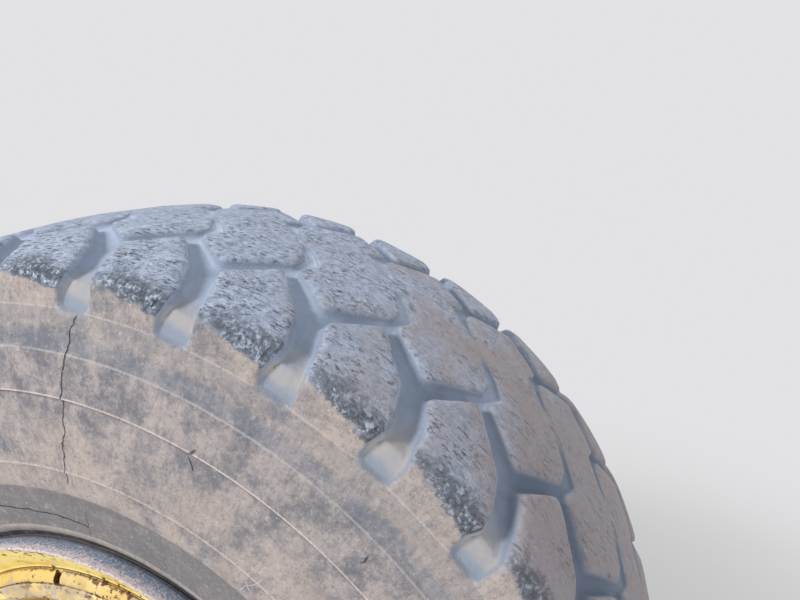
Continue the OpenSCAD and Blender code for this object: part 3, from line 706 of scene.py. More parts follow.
@dataclass(frozen=True)
class RustySteel(DustyFinish):
    """Plated or plain steel of fasteners, gone brown, with polished corners and dust."""

    steel: Colour = srgb(150, 142, 134)
    rust: Colour = srgb(120, 82, 58)
    dark_rust: Colour = srgb(78, 56, 46)
    rusty: float = 0.5
    metallic: float = 0.7

    def wire(self, w: Wiring, place: Socket, shader: Node) -> None:
        """Wires the steel; see Finish.wire."""
        tone = w.ease(w.cloud(place, 120.0, 3.9, 4.0, 0.65), 0.35, 0.68)
        rust = w.blend(tone, self.dark_rust, self.rust)
        rusted = Effects.spots(w, Place=place, Scale=70.0, Amount=0.3 + 0.6 * self.rusty,
                               Extra=w.times(self.worn(w, "edge"), -0.22), Soft=0.12)
        colour, dust = self.dusted(w, place, w.blend(rusted, self.steel, rust), 40.0)
        bare = w.calc("SUBTRACT", 1.0, w.larger(rusted, dust), clamp=True)
        w.fill(shader, {
            "Base Color": colour, "Metallic": w.times(bare, self.metallic),
            "Roughness": w.times_plus(bare, -0.38, 0.88),
        })
        grain = Effects.grain(w, Place=place, Fine=900.0, Coarse=240.0, Share=0.5)
        self.bump(w, shader, w.times_plus(rusted, 0.4, grain), 0.0004)


@dataclass(frozen=True)
class CastIron(DustyFinish):
    """Sand-cast iron with rust, dust and what is left of its paint."""

    iron: Colour = srgb(96, 88, 84)
    rust: Colour = srgb(132, 88, 60)
    dark: Colour = srgb(66, 52, 46)
    paint: Colour = srgb(196, 158, 76)
    dirt: Colour = srgb(172, 154, 136)
    painted: float = 0.2
    dusty: float = 0.35

    def wire(self, w: Wiring, place: Socket, shader: Node) -> None:
        """Wires the iron; see Finish.wire."""
        tone = w.ease(w.cloud(place, 34.0, 5.2, 5.0, 0.66), 0.34, 0.68)
        iron = w.ease(w.cloud(place, 18.0, 7.1, 3.0), 0.48, 0.62)
        colour = w.blend(iron, w.blend(tone, self.dark, self.rust), self.iron)
        paint = Effects.spots(w, Place=place, Scale=32.0, Amount=self.painted, Extra=0.0, Soft=0.03)
        colour, _ = self.dusted(w, place, w.blend(paint, colour, self.paint), 26.0)
        w.fill(shader, {"Base Color": colour, "Roughness": w.times_plus(paint, -0.2, 0.9)})
        grain = Effects.grain(w, Place=place, Fine=520.0, Coarse=150.0, Share=0.45)
        self.bump(w, shader, w.times_plus(paint, 0.5, grain), 0.0012)


@dataclass(frozen=True)
class RubbedIron(CastIron):
    """Brake disc iron: rusty, with faces that the pads keep bright and grooved."""

    bright: Colour = srgb(172, 168, 164)
    scored: Colour = srgb(126, 120, 115)
    inner: float = 0.188
    outer: float = 0.233
    soft: float = 0.003

    def wire(self, w: Wiring, place: Socket, shader: Node) -> None:
        """Wires the iron, then lays the rubbed faces over it; see Finish.wire."""
        super().wire(w, place, shader)
        radius = Effects.polar(w, Place=place)["Radius"]
        rubbed = Effects.ring(w, Value=radius, Middle=(self.inner + self.outer) / 2,
                              Half=(self.outer - self.inner) / 2 - self.soft, Soft=self.soft)
        lines = w.cloud(w.join(radius), 700.0, 1.9, 3.0, 0.7)
        film = w.ease(w.cloud(place, 14.0, 4.4, 4.0), 0.42, 0.7)
        bright = w.blend(w.ease(lines, 0.35, 0.65), self.scored, self.bright)
        bright = w.blend(w.times(film, 0.55), bright, self.rust)
        w.fill(shader, {
            "Base Color": w.blend(rubbed, self.fed(shader, "Base Color"), bright),
            "Metallic": w.times(rubbed, w.calc("SUBTRACT", 0.85, film, clamp=True)),
            "Roughness": w.times_plus(rubbed, -0.48, 0.9),
        })


@dataclass(frozen=True)
class Plain(DustyFinish):
    """A small part's brass, plastic or friction material, dulled by handling and dust."""

    colour: Colour = srgb(60, 60, 60)
    second: Colour = srgb(80, 78, 76)
    dirt: Colour = srgb(160, 146, 130)
    metallic: float = 0.0
    roughness: float = 0.6

    def wire(self, w: Wiring, place: Socket, shader: Node) -> None:
        """Wires the finish; see Finish.wire."""
        tone = w.ease(w.cloud(place, 130.0, 2.8, 4.0), 0.35, 0.68)
        colour, dust = self.dusted(w, place, w.blend(tone, self.colour, self.second), 60.0)
        w.fill(shader, {
            "Base Color": colour, "Metallic": self.metallic,
            "Roughness": w.times_plus(dust, 0.3, self.roughness),
        })
        self.bump(w, shader, Effects.grain(w, Place=place, Fine=1200.0, Coarse=300.0, Share=0.4), 0.0002)


TYRE = TyreRubber("weathered_tyre_rubber", "tyre_rubber")
# Lit and shaded copies of one yellow paint: RIM_LIP is written brighter as painted light on the flanges'
# dished faces, which face away from the lamps, and RIM's darker yellow is partly painted shade against the
# key lamp on the lock ring
RIM = Paint("rim_paint_chipped_shaded_copy", "rim_paint", paint=srgb(220, 183, 88), faded=srgb(228, 203, 136),
            worn_through=srgb(200, 180, 154), bare=0.36, seams=(326.4, 309.4), notch=(-6.5, 5.2))
RIM_LIP = FlangeLipPaint("rim_paint_worn_lip_lit_copy", "rim_paint", paint=srgb(252, 215, 102),
                         faded=srgb(254, 233, 150), chips=0.37, bare=0.08, seams=(326.8,))
RIM_DUSTY = Paint("rim_paint_dusty", "rim_paint", chips=0.34, bare=0.42, dusty=0.26, stained=0.45,
                  notch=(-6.5, 4.8))
HUB = Paint("hub_paint_dusty", "hub_paint", paint=srgb(222, 178, 82), faded=srgb(232, 204, 136),
            chips=0.36, bare=0.30, dusty=0.36, stained=0.5)
STEEL = RustySteel("rusty_fastener_steel", "fastener_steel")
PIPE = RustySteel("dull_pipe_steel", "pipe_steel", rusty=0.25, dusty=0.3)
IRON = CastIron("dusty_cast_iron", "axle_iron", painted=0.34)
CALIPER = CastIron("rusted_caliper_iron", "brake_iron", painted=0.12)
DISC_IRON = RubbedIron("rubbed_brake_iron", "brake_iron", painted=0.0, dusty=0.25)
PAD = Plain("dark_pad", "pad_steel", colour=srgb(58, 54, 52), second=srgb(92, 82, 74))
BRASS = Plain("tarnished_brass", "valve_brass", colour=srgb(150, 122, 70), second=srgb(112, 92, 60),
              metallic=0.6, roughness=0.42)
PLASTIC = Plain("matt_black_plastic", "valve_plastic", colour=srgb(34, 34, 35), second=srgb(56, 54, 53))


class Piece:
    """A finished mesh object, from its making to its place on a body."""

    def __init__(self, name: str, mesh: Mesh) -> None:
        """Puts the mesh in the scene.

        Args:
            name: The piece's name.
            mesh: Its mesh, in metres in the row's frame.
        """
        mesh.name = name
        self.object = in_scene(name, mesh)

    def smooth(self, angle: float = 35.0) -> "Piece":
        """Shades the mesh smooth except along edges sharper than the angle."""
        mesh = self.object.data
        mesh.polygons.foreach_set("use_smooth", [True] * len(mesh.polygons))
        mesh.set_sharp_from_angle(angle=math.radians(angle))
        return self

    def finish(self, finish: Finish, body: Body, *nodes: str) -> "Piece":
        """Gives the piece its material and body, and hides the CAD nodes that it stands for.

        Args:
            finish: The finish to put on.
            body: The body that carries the piece.
            nodes: CAD nodes that it replaces.

        Returns:
            The piece itself.
        """
        self.object.data.materials.clear()
        self.object.data.materials.append(finish.material())
        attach(self.object, body.value)
        if nodes:
            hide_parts(*nodes)
        count = len(self.object.data.polygons)
        log.info("%s: %d faces, for %s", self.object.name, count, ", ".join(nodes) or "trim")
        return self


class Modelling:
    """Steps that several classes use to make meshes."""

    @staticmethod
    def from_bmesh(bm: BMesh, name: str) -> Mesh:
        """Turns a bmesh into a mesh with outward faces and frees the bmesh."""
        bmesh.ops.recalc_face_normals(bm, faces=bm.faces)
        mesh = bpy.data.meshes.new(name)
        bm.to_mesh(mesh)
        bm.free()
        return mesh

    @staticmethod
    def skin(
        bm: BMesh, rows: Sequence[Sequence[Any]], closed: bool, capped: bool = True,
        spans: Iterable[int] | None = None
    ) -> None:
        """Joins rows of vertices with faces.

        Args:
            bm: The bmesh.
            rows: The rows, all of one length.
            closed: Whether the last row joins the first.
            capped: Whether rows that aren't closed get a face at each end.
            spans: Numbers of the spans between a row's vertices that get faces; all of them, and
                the one from its end to its start, if none are given.
        """
        count = len(rows[0])
        for a, b in list(zip(rows, rows[1:])) + ([(rows[-1], rows[0])] if closed else []):
            for k in range(count) if spans is None else spans:
                n = (k + 1) % count
                bm.faces.new((a[k], a[n], b[n], b[k]))
        if capped and not closed:
            bm.faces.new(rows[0])
            bm.faces.new(rows[-1][::-1])

    @staticmethod
    def evaluated(source: bpy.types.Object, name: str) -> Piece:
        """Applies an object's modifiers to a new plain piece and deletes the object."""
        graph = bpy.context.evaluated_depsgraph_get()
        mesh = bpy.data.meshes.new_from_object(source.evaluated_get(graph))
        bpy.data.objects.remove(source)
        return Piece(name, mesh)

    @staticmethod
    def through_nodes(source: Mesh, tree: NodeTree, values: dict[str, Any], name: str) -> Piece:
        """Puts a mesh through a Geometry Nodes tree.

        Args:
            source: The mesh.
            tree: The tree.
            values: Values of the tree's inputs by name; they are set by the sockets' identifiers.
            name: The new piece's name.

        Returns:
            The new piece.
        """
        holder = in_scene(source.name, source)
        modifier = holder.modifiers.new("nodes", "NODES")
        modifier.node_group = tree
        for item in tree.interface.items_tree:
            if item.item_type == "SOCKET" and item.in_out == "INPUT" and item.name in values:
                modifier[item.identifier] = values[item.name]
        return Modelling.evaluated(holder, name)

    @staticmethod
    def node_tree(name: str, inputs: dict[str, Any]) -> tuple[NodeTree, Wiring, Any, Node]:
        """Starts a Geometry Nodes tree.

        Args:
            name: The tree's name.
            inputs: Defaults of its inputs by name; None stands for a material.

        Returns:
            The tree, its wiring, its inputs and its output node.
        """
        kinds = {int: "Int", float: "Float", type(None): "Material"}
        tree = bpy.data.node_groups.new(name, "GeometryNodeTree")
        tree.interface.new_socket(name="Geometry", in_out="INPUT", socket_type="NodeSocketGeometry")
        for label, default in inputs.items():
            kind = "NodeSocket" + kinds[type(default)]
            made = tree.interface.new_socket(name=label, in_out="INPUT", socket_type=kind)
            if default is not None:
                made.default_value = default
        tree.interface.new_socket(name="Geometry", in_out="OUTPUT", socket_type="NodeSocketGeometry")
        wiring = Wiring(tree)
        return tree, wiring, wiring.node("NodeGroupInput").outputs, wiring.node("NodeGroupOutput")

    @staticmethod
    def copies(w: Wiring, points: Node, geometry: Socket, turn: Socket) -> Socket:
        """Sets a copy of a geometry on each point, turned about Y, and makes the copies real."""
        made = w.node("GeometryNodeInstanceOnPoints", {
            "Points": points.outputs[0], "Instance": geometry, "Rotation": w.join(y=turn),
        })
        return w.node("GeometryNodeRealizeInstances", {0: made.outputs[0]}).outputs[0]

    @staticmethod
    def finished(w: Wiring, end: Node, geometry: Socket, finish: Socket) -> None:
        """Gives a geometry its material and feeds it to the tree's output."""
        made = w.node("GeometryNodeSetMaterial", {"Geometry": geometry, "Material": finish})
        w.fill(end, {0: made.outputs[0]})


@dataclass(frozen=True)
class TyreSection:
    """Half of the tyre's outline, from the middle of the crown to the rim."""

    crown_arc: float = 1540.0
    crown_half: float = 180.0
    shoulder_arc: float = 175.0
    shoulder: Pair = (758.0, 262.0)
    groove_end: Pair = (718.0, 267.7)
    bulge_middle: Pair = (560.0, -311.0)
    bulge_r: float = 600.0
    bead_r: float = 388.0

    def _walk(self, start: Pair, end: Pair, middle: Array) -> Array:
        """Points along an arc from start to end about a middle, about 1 mm apart."""
        a, b = np.array(start) - middle, np.array(end) - middle
        turns = [math.atan2(p[1], p[0]) for p in (a, b)]
        radius = float(np.hypot(*a))
        count = max(2, int(radius * abs(turns[1] - turns[0])))
        sweep = np.linspace(turns[0], turns[1], count + 1)[1:]
        return middle + radius * np.stack([np.cos(sweep), np.sin(sweep)], -1)

    def points(self) -> tuple[Array, Array, Array]:
        """The outline, smoothed at its corners.

        Returns:
            Distances along it, its points as (radius, place), and its outward normals.
        """
        top = (TYRE_R - 0.1, 0.0)
        drop = self.crown_arc - math.sqrt(self.crown_arc ** 2 - self.crown_half ** 2)
        edge = (top[0] - drop, self.crown_half)
        crown = self._walk(top, edge, np.array([top[0] - self.crown_arc, 0.0]))
        chord = np.array(self.shoulder) - np.array(edge)
        side = np.array([-chord[1], chord[0]]) / np.hypot(*chord)
        rise = math.sqrt(self.shoulder_arc ** 2 - float(chord @ chord) / 4)
        shoulder = self._walk(edge, self.shoulder, (np.array(edge) + self.shoulder) / 2 + side * rise)
        steps = np.linspace(0, 1, 41)[1:, None]
        buttress = np.array(self.shoulder) * (1 - steps) + np.array(self.groove_end) * steps
        middle_r, middle_v = self.bulge_middle
        low_v = middle_v + math.sqrt(self.bulge_r ** 2 - (self.bead_r - middle_r) ** 2)
        wall = self._walk(self.groove_end, (self.bead_r, low_v), np.array(self.bulge_middle))
        path = np.concatenate([[top], crown, shoulder, buttress, wall])
        along = np.concatenate([[0], np.cumsum(np.hypot(*np.diff(path, axis=0).T))])
        outline = self._soften(path, 4)
        normal = np.gradient(self._soften(path, 12), axis=0)
        normal = np.stack([normal[:, 1], -normal[:, 0]], -1)
        return along, outline, normal / np.hypot(*normal.T)[:, None]

    @staticmethod
    def _soften(path: Array, reach: int) -> Array:
        """Averages each point with its neighbours, the crown's middle mirrored and the end kept."""
        mirror = path[1:3 * reach + 1][::-1] * np.array([1.0, -1.0])
        tail = 2 * path[-1] - path[-2:-3 * reach - 2:-1]
        wide = np.concatenate([mirror, path, tail])
        kernel = np.exp(-0.5 * (np.arange(-3 * reach, 3 * reach + 1) / reach) ** 2)
        kernel /= kernel.sum()
        return np.stack([np.convolve(wide[:, i], kernel, "valid") for i in (0, 1)], -1)


@dataclass
class Tyre:
    """The block-tread tyre: one cell of the tread and its share of the sidewalls, set round the axle."""

    cells: int = 33
    phase: float = -0.73
    around: float = 13.963
    tread_half: float = 327.0
    far_shift: float = 31.1
    corner_r: float = 11.0
    pocket_r: float = 15.0
    pocket_end: float = 312.0
    edge_step: float = 10.0
    top_step: float = 12.5
    floor_step: float = 9.0
    wear: float = 1.1
    chunks: float = 4.0
    seed: float = 4.0
    cell_weld: float = 0.2
    ring_weld: float = 0.3
    shoulder_lean: float = 9.0
    # An edge's length that its corners take up, and the least radius of a hollow and an outer corner
    corner_span: float = 14.0
    least_r: Pair = (2.5, 3.0)
    # The greatest share of an edge that one corner's rounding takes
    corner_share: float = 0.42
    # Places round the tread beyond both ends of a cell, and one across it beyond its edge
    beyond: Corner = (-120.0, 132.0, 350.0)
    # Height of a fill row in steps, and the least distance in steps from a fixed point
    fill_row: float = 0.866
    fill_gap: float = 0.55
    # Half the length of a shoulder block, places across the tread where the block tops' look fades
    # out, and where the torn corners' look fades in and out again
    block_half: float = 50.0
    crown_fade: Pair = (246.0, 306.0)
    torn_fades: tuple[float, ...] = (216.0, 264.0, 280.0, 292.0)
    # How torn a block is along its length, from -1 to 1
    torn_along: tuple[Pair, ...] = ((-1.0, 0.55), (-0.2, 0.85), (0.6, 1.0))
    # Depths in mm at which a groove shows fully and at which a block's rounded edge is whole
    shown_depth: float = 6.0
    whole_depth: float = 5.0
    # Spans of one cell's share of the sidewall, and rows inside in which it turns to the far side's place
    wall_spans: int = 8
    turn_rows: int = 15
    # Down the left side of a shoulder block, round its tip and up its right side
    shoulder_block: tuple[Pair, ...] = (
        (-49, 280), (-59, 226), (-77, 181), (-24, 118), (39, 196), (56, 241), (57, 262), (50, 286),
    )
    middle_block: tuple[Pair, ...] = (
        (-38, 14), (4, 66), (-11, 100), (56, 156), (128.6, 92), (128.6, 62), (102, 20), (69.1, -14),
        (27.1, -66), (42.1, -100), (-24.8, -156), (-97.5, -92), (-97.5, -62), (-70.9, -20),
    )
    border: tuple[Pair, ...] = (
        (-70, 327), (-70, 300), (-72.6, 276), (-80.5, 226), (-97, 186), (-87, 168.5), (-24, 105), (-17, 94),
        (-10, 64), (-44, 17),
    )
    groove_depth: tuple[Pair, ...] = (
        (0, 0), (12, 0), (22, 3.5), (45, 6), (70, 7.5), (95, 11), (118, 14), (150, 16), (180, 20), (226, 22),
        (262, 17), (285, 12.5), (300, 9.5), (308, 8.5),
    )
    # Rings about a block's outline: offset and depth, each as a share of the groove's depth plus mm,
    # then how much of the groove and of the worn edge each ring shows
    rings: tuple[tuple[float, float, float, float, float, float], ...] = (
        (-0.25, -5.5, 0.00, 0.0, 0.00, 0.25), (-0.10, -2.4, 0.03, 0.2, 0.04, 0.85),
        (0.0, 0.0, 0.12, 0.5, 0.14, 1.0), (0.08, 1.1, 0.50, 0.0, 0.50, 0.45),
        (0.20, 2.2, 0.90, 0.0, 0.88, 0.1), (0.28, 3.4, 1.00, 0.0, 1.0, 0.0),
    )
    # Sidewall from the tread to the rim: radius, and how far the surface stands out
    sidewall: tuple[Pair, ...] = (
        (692, 0), (682, 0), (672.5, 0), (669.6, 0), (667.4, 1.9), (664.5, 2.5), (652, 2.6), (638, 2.6),
        (624, 2.6), (617, 2.8), (614, 3.8), (611.8, 3.8), (610, 0.2), (606, 0), (592, 0), (574, 0), (556, 0),
        (538, 0), (522, 0), (512.5, 0), (510.6, 1.2), (508.2, 1.2), (506.2, 0), (496, 0), (484, 0), (470, 0),
        (467, -1.3), (452, -1.4), (438, -1.3), (424, -1.2), (411, -1.0), (406, -0.8), (403, 0.4), (400, 0.6),
        (396.5, 0.4), (394, -0.4), (391.5, -0.9), (388.2, -1.6),
    )
    # Foot on the rim and the inside: radius, place
    inside: tuple[Pair, ...] = (
        (380.5, 258.6), (372.2, 253.1), (363.6, 248.9), (355, 246.9), (324.5, 247.2), (317.2, 240.5),
        (312.1, 181.5), (324.1, 179.5),
        (378, 231), (470, 252), (560, 259), (640, 250), (705, 230), (738, 120), (742, 40),
    )
    section: TyreSection = field(default_factory=TyreSection)

    @property
    def pitch(self) -> float:
        """Length of one cell around the tread."""
        return 360.0 / self.cells * self.around

    @property
    def turn_sum(self) -> float:
        """Twice the place round the tread about which a cell's left border is the same both ways up."""
        return self.far_shift - self.pitch

    def depth(self, across: Array | float) -> Array:
        """Depth of the grooves at a distance across the tread."""
        table = np.array(self.groove_depth)
        return np.interp(np.abs(across), table[:, 0], table[:, 1])

    def place(self, around: float, across: float, deep: float) -> Vector:
        """A point on the tread.

        Args:
            around: Place around the tread, from the middle of the first block.
            across: Place across it along the outline, towards the outer side.
            deep: Depth under the surface.

        Returns:
            The point in metres.
        """
        along, outline, normal = self._outline
        reach = abs(across)
        radius, out, n_r, n_v = (np.interp(reach, along, c) for c in (*outline.T, *normal.T))
        radius, out = radius - n_r * deep, out - n_v * deep
        return about_axle(radius, math.copysign(out, across), math.radians(around / self.around + self.phase))

    @staticmethod
    def _offset(points: Array, amounts: Array) -> Array:
        """Moves a counter-clockwise polygon's corners outwards, each by its own amount."""
        after, before = np.roll(points, -1, 0), np.roll(points, 1, 0)
        units = [(b - a) / np.hypot(*(b - a).T)[:, None] for a, b in ((before, points), (points, after))]
        outs = [np.stack([u[:, 1], -u[:, 0]], -1) for u in units]
        mitre = outs[0] + outs[1]
        mitre /= np.einsum("ij,ij->i", mitre, outs[0])[:, None]
        return points + mitre * amounts[:, None]

    def _rounded(self, points: Array, radii: Array, counts: Sequence[int]) -> list[Array]:
        """Rounds a polygon's corners and divides its edges, the same way for each ring.

        Args:
            points: The polygon's corners.
            radii: The corners' radii.
            counts: How many parts each edge is divided in.

        Returns:
            The points of each corner and of the edge after it.
        """
        made, trims = [], []
        for i, p in enumerate(points):
            before, after = points[i - 1] - p, points[(i + 1) % len(points)] - p
            legs = np.hypot(*before), np.hypot(*after)
            turn = math.pi - math.acos(np.clip(before @ after / (legs[0] * legs[1]), -1, 1))
            trim = min(radii[i] * math.tan(turn / 2), self.corner_share * min(legs))
            trims.append((p + before / legs[0] * trim, p, p + after / legs[1] * trim))
        for i, (a, b, c) in enumerate(trims):
            bit = [(1 - t) ** 2 * a + 2 * t * (1 - t) * b + t * t * c for t in (0.0, 1 / 3, 2 / 3, 1.0)]
            end = trims[(i + 1) % len(trims)][0]
            bit += [c + (end - c) * k / counts[i] for k in range(1, counts[i])]
            made.append(np.array(bit))
        return made

    def _blocks(self) -> list[Array]:
        """The raised parts of a cell as counter-clockwise polygons.

        A shoulder block's polygon takes in the sidewall that closes the pockets on both sides of it.
        """
        end, (left, right, top) = self.pocket_end, self.beyond
        first, last = self.shoulder_block[0][0], self.shoulder_block[-1][0]
        ends = (last, end), (right, end), (right, top), (left, top)
        near = np.array([(left, end), (first, end), *self.shoulder_block, *ends], float)
        far = np.array([self.far_shift, 0.0]) - near
        return [near, far, np.array(self.middle_block, float)[::-1]]

    def _amounts(self, block: Array, share: float, plus: float) -> Array:
        """How far one ring lies outside each corner of a block."""
        return share * self.depth(block[:, 1]) + plus

    def _chains(self, block: Array, closed: bool, far: bool) -> list[Array]:
        """The rings round a block, from its top to the groove's floor.

        Args:
            block: The block's polygon.
            closed: Whether the block is whole, or runs into the sidewall and ends at the cell's borders.
            far: Whether it is on the inner side.

        Returns:
            One row of points for each ring.
        """
        legs = np.hypot(*(np.roll(block, -1, 0) - block).T)
        counts = [max(1, round((leg - self.corner_span) / self.edge_step)) for leg in legs]
        hollow_r, outer_r = self.least_r
        before, after = block - np.roll(block, 1, 0), np.roll(block, -1, 0) - block
        hollow = before[:, 0] * after[:, 1] - before[:, 1] * after[:, 0] < 0
        chains = []
        for share, plus, *_ in self.rings:
            amounts = self._amounts(block, share, plus)
            inner, outer = self.pocket_r - amounts, self.corner_r + amounts
            radii = np.where(hollow, np.maximum(hollow_r, inner), np.maximum(outer_r, outer))
            bits = self._rounded(self._offset(block, amounts), radii, counts)
            if closed:
                chains.append(np.concatenate(bits))
                continue
            inner = np.concatenate(bits[1:-4] + [bits[-4][:4]])
            left, right = self.border[0][0], self.border[0][0] + self.pitch
            if far:
                left, right = self.far_shift - left, self.far_shift - right
            ends = np.array([[left, inner[0][1]], [right, inner[-1][1]]])
            chains.append(np.concatenate([ends[:1], inner, ends[1:]]))
        return chains

    def _side_border(self, stops: Sequence[float]) -> Array:
        """The left border of a cell from the outer side to the inner one, divided finely.

        Args:
            stops: Places across the tread that need a point at both ends of the border.

        Returns:
            The border's points.
        """
        near = np.array([*self.border, (self.turn_sum / 2, 0)], float)
        upright = [(self.border[0][0], s) for s in sorted(stops, reverse=True)]
        near = np.concatenate([near[:1], upright, near[1:]])
        turned = np.array([self.turn_sum, 0.0]) - near[:-1][::-1]
        path = np.concatenate([near, turned])
        made = [path[0]]
        for a, b in zip(path, path[1:]):
            count = max(1, round(float(np.hypot(*(b - a))) / self.edge_step))
            made += [a + (b - a) * k / count for k in range(1, count + 1)]
        return np.array(made)

    def _cell_plan(self) -> tuple[Array, list[tuple[int, int]], Array, list[int]]:
        """Lays out the cell's fixed points.

        Returns:
            The points, the edges between them, the values of each (depth, groove, edge), and the
            loop of the cell's border.
        """
        near, far, middle = self._blocks()
        blocks = ((near, False, False), (far, False, True), (middle, True, False))
        rows = [self._chains(*block) for block in blocks]
        left = self._side_border([float(chain[0][1]) for chain in rows[0]])
        right = left + np.array([self.pitch, 0.0])
        ends = (left[-1], right[-1]), (right[0], left[0])
        low, high = (np.linspace(*end, self.wall_spans + 1)[1:-1] for end in ends)
        loop = np.concatenate([left, low, right[::-1], high])
        points, values, edges = list(loop), [], []
        for p in loop:
            d = float(self.depth(p[1])) if abs(p[1]) < self.pocket_end else 0.0
            values.append((d, min(1.0, d / self.shown_depth), 0.0))
        border = list(range(len(loop)))
        edges += [(i, (i + 1) % len(loop)) for i in border]
        for chains, (_, closed, _) in zip(rows, blocks):
            for chain, (_, _, deep_share, deep_plus, groove, edge) in zip(chains, self.rings):
                marks = []
                for p in chain:
                    d = float(self.depth(p[1]))
                    soft, shown = min(1.0, d / self.whole_depth), min(1.0, d / self.shown_depth)
                    value = (deep_share * d + deep_plus * soft, groove * shown, edge * soft)
                    apart = np.abs(loop - p).sum(1)
                    if apart.min() < 1e-6:
                        marks.append(int(apart.argmin()))
                        values[marks[-1]] = value
                        continue
                    marks.append(len(points))
                    points.append(p)
                    values.append(value)
                edges += list(zip(marks, marks[1:] + (marks[:1] if closed else [])))
        return np.array(points), edges, np.array(values), border

    @staticmethod
    def _inside(points: Array, polygon: Array) -> Array:
        """Which of the points lie inside a polygon."""
        inside = np.zeros(len(points), bool)
        for a, b in zip(polygon, np.roll(polygon, -1, 0)):
            crosses = (a[1] > points[:, 1]) != (b[1] > points[:, 1])
            with np.errstate(divide="ignore", invalid="ignore"):
                at = a[0] + (points[:, 1] - a[1]) * (b[0] - a[0]) / (b[1] - a[1])
            inside ^= crosses & (points[:, 0] < at)
        return inside

    def _fill(self, fixed: Array, border: Array) -> tuple[Array, Array]:
        """Points between the fixed ones, and which of them are on a block's top."""
        tops, floors = (
            [self._offset(b, self._amounts(b, *ring[:2])) for b in self._blocks()]
            for ring in (self.rings[0], self.rings[-1])
        )
        made, is_top = [], []
        for step, top in ((self.top_step, True), (self.floor_step, False)):
            low, high = border.min(0), border.max(0)
            columns, rows = np.arange(low[0], high[0], step), np.arange(low[1], high[1], step * self.fill_row)
            grid = np.array([(x + (row % 2) * step / 2, y) for row, y in enumerate(rows) for x in columns])
            # A point on the border's own line would leave a vertex that the sidewall doesn't have
            keep = self._inside(grid, border) & (grid[:, 1] > low[1] + step / 4)
            if top:
                keep &= np.any([self._inside(grid, t) for t in tops], 0)
            else:
                keep &= ~np.any([self._inside(grid, f) for f in floors], 0)
            grid = grid[keep]
            apart = np.sqrt(((grid[:, None, :] - fixed[None, :, :]) ** 2).sum(-1)).min(1)
            grid = grid[apart > self.fill_gap * step]
            made.append(grid)
            is_top += [top] * len(grid)
        return np.concatenate(made), np.array(is_top)

    def _tread(self, bm: BMesh) -> None:
        """Adds one cell of the tread to a bmesh."""
        layers = {name: bm.verts.layers.float.new(name) for name in ("groove", "edge", "crown", "scuff")}
        fixed, edges, values, border = self._cell_plan()
        extra, is_top = self._fill(fixed, fixed[border])
        deep = np.where(is_top, 0.0, self.depth(extra[:, 1]))
        plan = np.concatenate([fixed, extra])
        grooved = np.where(is_top, 0.0, np.minimum(1, deep / self.shown_depth))
        values = np.concatenate([values, np.stack([deep, grooved, 0 * deep], -1)])
        made, _, faces, origin, _, _ = delaunay_2d_cdt(
            [Vector(p) for p in plan], edges, [border], 1, 1e-4, True)
        middles = np.array([np.mean([made[i] for i in face], axis=0) for face in faces])
        kept = self._inside(middles, fixed[border])
        verts = []
        for p, source in zip(made, origin):
            index = source[0] if source else int(np.argmin(((plan - np.array(p)) ** 2).sum(-1)))
            depth, groove, edge = (float(v) for v in values[index])
            verts.append(bm.verts.new(self.place(p.x, p.y, depth)))
            on_block = (p.x if p.y > 0 else self.far_shift - p.x) / self.block_half
            reach = abs(p.y) - self.shoulder_lean * max(-1.0, min(1.0, on_block))
            torn = float(np.interp(reach, self.torn_fades, (0, 1, 1, 0)))
            shown = {
                "groove": groove, "edge": edge, "crown": float(np.interp(reach, self.crown_fade, (1, 0))),
                "scuff": torn * float(np.interp(on_block, *zip(*self.torn_along))),
            }
            for name, value in shown.items():
                verts[-1][layers[name]] = value
        for face, inside in zip(faces, kept):
            if inside:
                bm.faces.new([verts[i] for i in face])

    def _walls(self, bm: BMesh) -> None:
        """Adds a cell's share of the sidewalls, bead seats and inside to a bmesh."""
        along, outline, normal = self._outline
        order = slice(None, None, -1)

        def on_side(radius: float, proud: float) -> Pair:
            """A point of the sidewall, standing out from the outline."""
            out, n_r, n_v = (
                np.interp(radius, outline[:, 0][order], c[order]) for c in (outline[:, 1], *normal.T)
            )
            return radius + n_r * proud, out + n_v * proud

        start = [np.interp(self.tread_half, along, c) for c in outline.T]
        half = [tuple(start)] + [on_side(r, p) for r, p in self.sidewall] + list(self.inside)
        rows = half + [(r, -v) for r, v in reversed(half)]
        near, far = self.border[0][0], self.turn_sum - self.border[0][0]
        grid = []
        for i, (radius, out) in enumerate(rows):
            share = min(1.0, max(0.0, (i - len(half) + (self.turn_rows + 1) / 2) / self.turn_rows))
            left = near + (far - near) * share
            places = [left + self.pitch * k / self.wall_spans for k in range(self.wall_spans + 1)]
            turns = [math.radians(place / self.around + self.phase) for place in places]
            grid.append([bm.verts.new(about_axle(radius, out, turn)) for turn in turns])
        Modelling.skin(bm, grid, False, False, range(self.wall_spans))

    @staticmethod
    def ring_tree() -> NodeTree:
        """Sets copies of a cell round the axle, welds them and wears their edges."""
        tree, w, o, end = Modelling.node_tree("ring_of_cells", {
            "Cells": 33, "Weld": 0.0002, "Wear": 0.001, "Chunks": 0.003, "Seed": 1.0, "Finish": None,
        })
        points = w.node("GeometryNodePoints", {"Count": o["Cells"]})
        index = w.node("GeometryNodeInputIndex").outputs[0]
        turn = w.calc("DIVIDE", w.times(index, math.tau), o["Cells"])
        real = Modelling.copies(w, points, o["Geometry"], turn)
        weld = w.node("GeometryNodeMergeByDistance", {"Geometry": real, "Distance": o["Weld"]})
        place = w.node("GeometryNodeInputPosition").outputs[0]
        edge, crown = (
            w.node("GeometryNodeInputNamedAttribute", {"Name": name}, data_type="FLOAT").outputs["Attribute"]
            for name in ("edge", "crown")
        )

